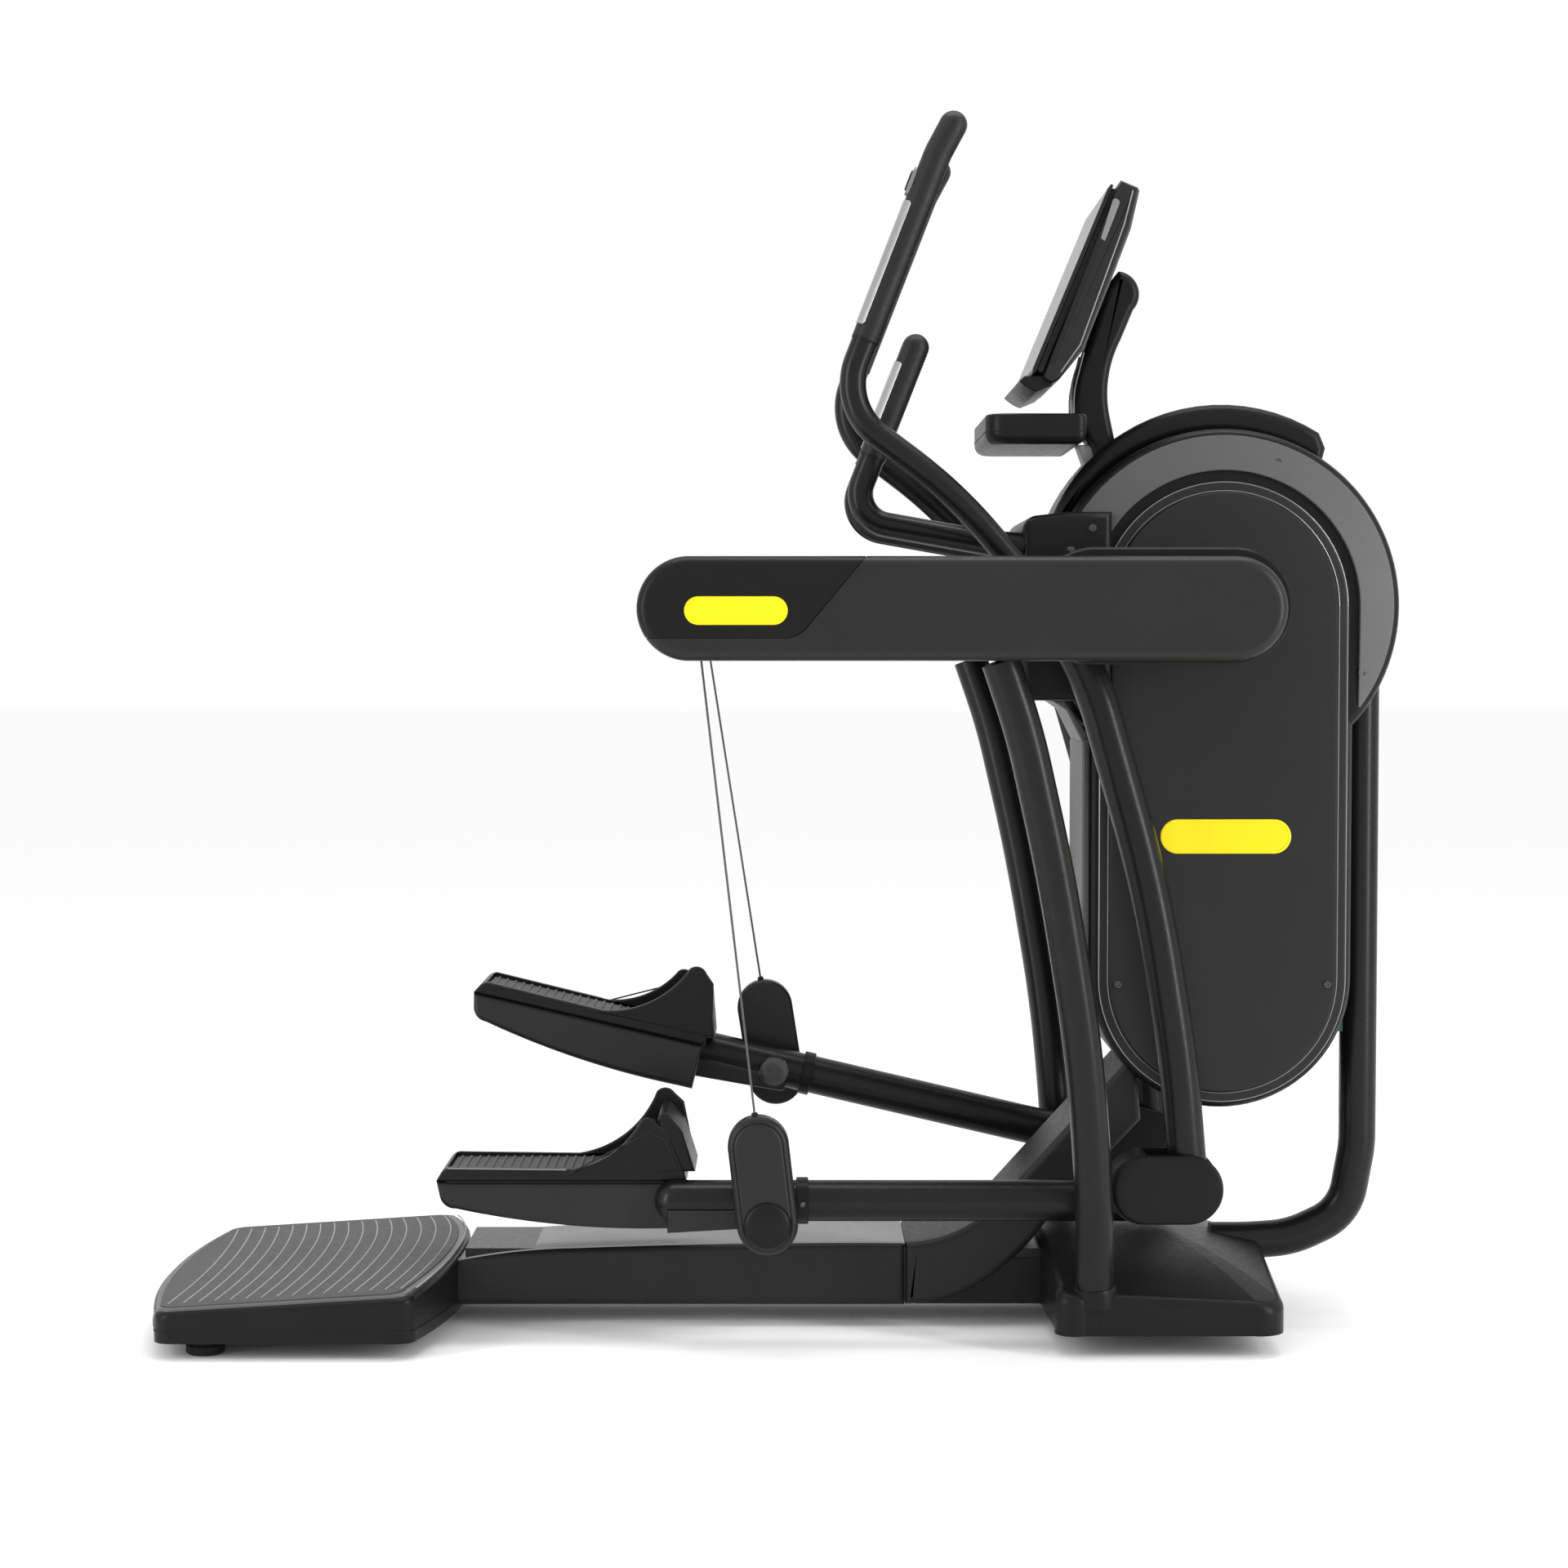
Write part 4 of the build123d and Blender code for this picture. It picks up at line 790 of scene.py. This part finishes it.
def thumb_switch(side, place):
    """Oval rocker on the user's side of the grip, in a bright collar."""
    spot = switch_place()

    def oval(half_y, half_z, x, count=40):
        return [spot @ (Vector((x, half_y * cos(2 * pi * k / count), half_z * sin(2 * pi * k / count))) * MM)
                for k in range(count)]
    collar = bmesh.new()
    rings(collar, [oval(9.5, 21, -17.5), oval(9.5, 21, -22.3), oval(8.6, 20, -23), oval(6.8, 16.4, -23),
                   oval(6.5, 16, -22.2), oval(6.5, 16, -19)], False)
    piece("switch_collar_" + side, collar, HIGHLIGHT_AND_TRIM, "lever_" + side, "grip_plastic", place=place)
    rocker = bmesh.new()
    rings(rocker, [oval(5.8, 14.8, -21.7), oval(5.8, 14.8, -24.2), oval(5.2, 14, -25.2),
                   oval(3.4, 10, -25.5)])
    piece("switch_rocker_" + side, rocker, COVER, "switch_" + side, "grip_plastic",
          ["lever_switch_" + side], place)


# ---- console --------------------------------------------------------------------------------------
def console():
    face = [(376, 1361), (381, 1354), (389, 1351), (400, 1357), (433, 1397), (474, 1500), (499, 1566),
            (511, 1619), (509, 1624), (485, 1634), (476, 1621)]
    bm = prism(bmesh.new(), face, -165, 165, 9, 9, 2)
    piece("console_shell", bm, PANEL, "frame", "satin_cover", ["console_body"])
    lean = atan2(478 - 366, 1632 - 1362)
    tilt = Matrix.Translation(Vector((422, 0, 1497)) * MM) @ Matrix.Rotation(lean, 4, "Y")

    def slab(name, x0, x1, half_y, low, high, rim, material, slot, nodes=()):
        bm = bmesh.new()
        box_form(bm, x0, x1, -half_y, half_y, low, high, rim, 3)
        piece(name, bm, material, "frame", slot, nodes, tilt)
    slab("console_gap", -1.4, 8, 159, -139, 136, 1.5, RUBBER, "black_cover")
    slab("console_bezel", -6, -1.4, 164, -145, 140, 2.2, COVER, "satin_cover")
    slab("console_glass", -7.2, -4, 158, -140, 135, 1.2, GLASS, "screen_glass", ["console_screen"])
    ledge = outline((344, 1355), [(352, 1348), (368, 1340)], (390, 1349), (392, 1358), (374, 1364),
                    (351, 1362))
    piece("console_ledge", prism(bmesh.new(), ledge, -150, 150, 3, 3, 3), COVER, "frame", "satin_cover")
    edge = [(401, 1366), (428, 1404), (466, 1508), (489, 1572), (501, 1619)]
    slot = [(389, 1377), (406, 1425), (441, 1512), (471, 1588)]
    for side, place in FIXED_SIDES.items():
        # Painted highlight: a thin pale line along the front edge of each console side.
        rib = pipe(bmesh.new(), at_y(edge, -165.2), 1.1, 8)
        piece("console_edge_highlight_" + side, rib, HIGHLIGHT_AND_TRIM, "frame", "satin_cover", place=place)
        line = pipe(bmesh.new(), at_y(slot, -165), 1.6, 8)
        piece("console_slot_" + side, line, RUBBER, "frame", "satin_cover", place=place)
        # Painted highlight: a small pale patch near the top of each console side stands for a shine.
        shine = prism(bmesh.new(), outline((462, 1548), (482, 1600), [(480, 1606), (473, 1606)], (456, 1552)),
                      -166.6, -163, 0.6, 0, 2)
        piece("console_painted_shine_" + side, shine, HIGHLIGHT_AND_TRIM, "frame", "satin_cover", place=place)
    for k in range(9):
        slot = bmesh.new()
        z = 1440 + 14 * k
        x = 433 + (z - 1397) * 41 / 103
        box_form(slot, x - 2, x + 1.4, -70, 70, z, z + 5, 1, 2)
        piece(f"console_vent_{k + 1}", slot, RUBBER, "frame", "black_cover")


def mast():
    face = outline((501, 1238), (486, 1310), [(482, 1360), (500, 1425)], (518, 1468),
                   [(522, 1508), (497, 1524)], (478, 1500), (446, 1404), [(431, 1350), (434, 1306)],
                   (460, 1266), (464, 1240))
    piece("mast_shell", prism(bmesh.new(), face, -34, 34, 12, 12, 6), COVER, "frame", "black_cover",
          ["console_mast"])
    stay = bmesh.new()
    prism(stay, [(438, 1274), (460, 1274), (466, 1243), (449, 1243)], -24, 24, 4, 4)
    piece("tray_bracket", stay, LIT_TOP_AND_TRIM_GREY, "frame", "grey_trim")
    for side, place in FIXED_SIDES.items():
        # Painted highlight: a thin pale line along the mast's rear edge.
        edge = bent([(432, -33.4, 1313), (431.5, -33.4, 1350), (446, -33.4, 1406)])
        line = pipe(bmesh.new(), edge, 1.3, 10)
        piece("mast_edge_highlight_" + side, line, HIGHLIGHT_AND_TRIM, "frame", "black_cover", place=place)


def accessory_tray():
    plan = outline((298 + 30, -150), (440 - 16, -150), [(436, -146), (440, -134)], (440, 134),
                   [(436, 146), (424, 150)], (328, 150), [(307, 141), (298, 120)], (298, -120),
                   [(307, -141), (328, -150)])
    form = raised_plate(bmesh.new(), plan, 1267, lambda x, y: 1310, 5, 2, foot=15)
    tray = piece("tray_shell", form, COVER, "frame", "black_cover", ["tray"])
    pocket = outline((330, -138), (412, -138), [(421, -134), (424, -122)], (424, 122),
                     [(421, 134), (412, 138)], (330, 138), [(315, 132), (310, 118)], (310, -118),
                     [(315, -132), (330, -138)])
    cut = bmesh.new()
    rings(cut, [[(x * MM, y * MM, z * MM) for x, y in pocket] for z in (1276, 1330)])
    carved(tray, cut)
    seam = bmesh.new()
    pipe(seam, [(x, y, 1285) for x, y in plan], 0.7, 8)
    piece("tray_seam", seam, RUBBER, "frame", "black_cover")


# ---- pedals and their arms ------------------------------------------------------------------------
def arms():
    for side, place in ARM_SIDES.items():
        body = "arm_" + side
        tube = [body, "black_tube", ["pedal_arm_" + side], place]
        path = [(500, -ARM_Y, ARM_Z), (200, -ARM_Y, ARM_Z), (-140, -ARM_Y, ARM_Z)]
        piece("arm_tube_" + side, pipe(bmesh.new(), path, ARM_R, 48, round_end=True), POWDER, *tube)
        clamp = [(30, -ARM_Y, ARM_Z), (31, -ARM_Y, ARM_Z), (46, -ARM_Y, ARM_Z), (47, -ARM_Y, ARM_Z)]
        piece("arm_clamp_" + side, pipe(bmesh.new(), clamp, [31.6, 32.8, 32.8, 31.6], 48), COVER, *tube)
        screw = [(4, -235), (4, -238.6), (3, -239.4), (1.6, -239.4)]
        screw = disc_form(bmesh.new(), (38.5, ARM_Z), screw, 24)
        piece("arm_clamp_screw_" + side, screw, DARK_STEEL, body, "shaft_steel", place=place)
        ends = (518.6, FOOT[1]), (FOOT[0], FOOT[1])
        near = [(40, -240.5), (48.6, -240.5), (48.6, -241), (46.5, -245.2), (42, -247), (30, -247)]
        far = [(40, -176.5), (48.6, -176.5), (48.6, -173), (46.5, -170), (42, -169), (30, -169)]
        piece("joint_cheek_out_" + side, stadium_form(bmesh.new(), *ends, near), COVER, *tube)
        piece("joint_cheek_in_" + side, stadium_form(bmesh.new(), *ends, far), COVER, *tube)
        wall = outline((590, 178.5), [(618, 199), (625.4, 225)], (619, 225), [(612, 203), (588, 184.4)],
                       (518, 182.5), [(478, 203), (478, 247)], [(495, 262), (518, 267.6)], (518, 273.6),
                       [(491, 267), (472, 250)], [(472, 200), (518, 176.4)])
        piece("joint_wall_" + side, prism(bmesh.new(), wall, -241, -176), COVER, *tube)
        boss = [(13, -238.5), (17, -237.5), (17, -176), (14, -174.5)]
        piece("pin_boss_" + side, disc_form(bmesh.new(), PIN, boss, 48), COVER, *tube)


def pedals():
    low = outline((-477, 229), (-472, 206), [(-466, 196), (-450, 190)], [(-310, 168), (-150, 162)],
                  (-128, 162), (-128, 229))
    cradle = [(-150, 163), (6, 171.5), (10, 175), (10, 195), (-150, 195)]
    deck = outline((-477, 229.6), (-471, 240), [(-464, 247), (-452, 249)], (-291, 247), (-128, 247),
                   (-124, 229.6))
    outer = outline((-291, 246), [(-240, 262), (-189, 314)], [(-180, 319), (-166, 312)], (-151, 300),
                    (-126, 243), (-291, 240))
    inner = outline((-291, 246), [(-228, 268), (-172, 336)], [(-160, 342), (-146, 335)], (-132, 322),
                    (-116, 243), (-291, 240))
    front = outline((-166, 243), (-162, 312), [(-157, 326), (-148, 322)], (-130, 300), (-112, 243))
    for side, place in ARM_SIDES.items():
        body = "arm_" + side
        base = [body, "pedal_plastic", ["pedal_base_" + side], place]
        top = [body, "pedal_plastic", ["pedal_top_" + side], place]
        piece("pedal_shell_" + side, prism(bmesh.new(), low, -200, -50, 9, 9, 6), PANEL, *base)
        piece("pedal_cradle_" + side, prism(bmesh.new(), cradle, -238, -174.5, 6, 6, 5), PANEL, *base)
        rim = piece("pedal_deck_" + side, prism(bmesh.new(), deck, -200, -50, 4, 4, 4), COVER, body,
                    "pedal_plastic", ["pedal_top_" + side])
        carved(rim, prism(bmesh.new(), [(-462, 240), (-170, 240), (-170, 262), (-462, 262)], -188, -62))
        rim.data.transform(place)
        if place.determinant() < 0:
            rim.data.flip_normals()
        piece("toe_wall_out_" + side, prism(bmesh.new(), outer, -200, -188, 4, 3, 4), COVER, *top)
        piece("toe_wall_in_" + side, prism(bmesh.new(), inner, -62, -50, 3, 4, 4), COVER, *top)
        piece("toe_front_" + side, prism(bmesh.new(), front, -198, -52, 5, 5, 4), COVER, *top)
        mat = bmesh.new()
        box_form(mat, -460, -172, -187, -63, 238.5, 243.0, 1, 2)
        piece("pedal_mat_base_" + side, mat, MAT, body, "rubber", ["pedal_mat_" + side], place)
        for k in range(22):
            rib = bmesh.new()
            x = -452 + 12.6 * k
            pipe(rib, [(x, -182, 243.2), (x, -68, 243.2)], 2.3, 10, True, True)
            piece(f"mat_rib_{side}_{k + 1:02d}", rib, MAT, body, "rubber", place=place)
        # Painted highlight: a thin pale line along the deck's outer top edge.
        lip_highlight = pipe(bmesh.new(), [(-460, -198.8, 248.0), (-294, -198.8, 246.2)], 1.0, 8, True, True)
        piece("pedal_lip_highlight_" + side, lip_highlight, HIGHLIGHT_AND_TRIM, body, "pedal_plastic", place=place)
        ridge = bmesh.new()
        pipe(ridge, [(-290, -200.4, 241), (-176, -200.4, 300), (-153, -200.4, 288), (-139, -200.4, 249)],
             1.2, 8)
        piece("toe_ridge_" + side, ridge, PANEL, body, "pedal_plastic", place=place)
        seam = bmesh.new()
        pipe(seam, [(-462, -200.3, 229.3), (-157, -200.3, 229.3), (-131, -200.3, 184)], 0.9, 8)
        piece("pedal_seam_" + side, seam, RUBBER, body, "pedal_plastic", place=place)


def along_link(up):
    a = link_lean(PIN)
    return PIN[0] + up * sin(a), PIN[1] + up * cos(a)


def links():
    low, high = along_link(-18), along_link(91)
    shell = [(34, -241), (39, -241.4), (42.5, -244), (42.5, -266), (41.6, -269.5), (39, -272.5), (36, -274),
             (34.6, -274), (34.2, -273), (33.6, -273), (33.2, -275.6), (31, -277.4), (27, -278), (12, -278)]
    for side, place in LINK_SIDES.items():
        body = "link_" + side
        piece("link_shell_" + side, stadium_form(bmesh.new(), low, high, shell), PANEL, body,
              "pedal_plastic", ["link_body_" + side], place)
        dome = [(33.5, -276), (33.5, -278.2), (32.6, -279.6)]
        dome += [(32 * cos(a), -279.8 - 8.0 * sin(a)) for a in (radians(t) for t in range(4, 88, 9))]
        piece("link_dome_" + side, disc_form(bmesh.new(), low, dome, 64), COVER, body, "pedal_plastic",
              place=place)
        gland = pipe(bmesh.new(), [(*[along_link(126)[0], -CABLE_Y], along_link(126)[1]),
                                   (*[along_link(138)[0], -CABLE_Y], along_link(138)[1])], [6, 4.2], 24)
        piece("link_gland_" + side, gland, COVER, body, "pedal_plastic", place=place)
        head = [(12, -166), (20, -166.4), (23, -168.4), (23, -173), (18, -173)]
        piece("pin_head_" + side, disc_form(bmesh.new(), PIN, head, 56), DARK_STEEL, "pin_" + side,
              "shaft_steel", ["link_pin_" + side], place)
        rod = [(9, -173), (9, -266)]
        piece("pin_rod_" + side, disc_form(bmesh.new(), PIN, rod, 40), DARK_STEEL, "pin_" + side,
              "shaft_steel", place=place)


standing_frame()
rear_step()
spine()
base_block()
housing()
top_cap()
nose()
badge("panel_badge", 549, 735, 687, 736, -127, "frame")
badge("beam_badge", -120, 18, 1010, 1048, -400, "frame")
beams()
fixed_handlebars()
levers()
console()
mast()
accessory_tray()
arms()
pedals()
links()
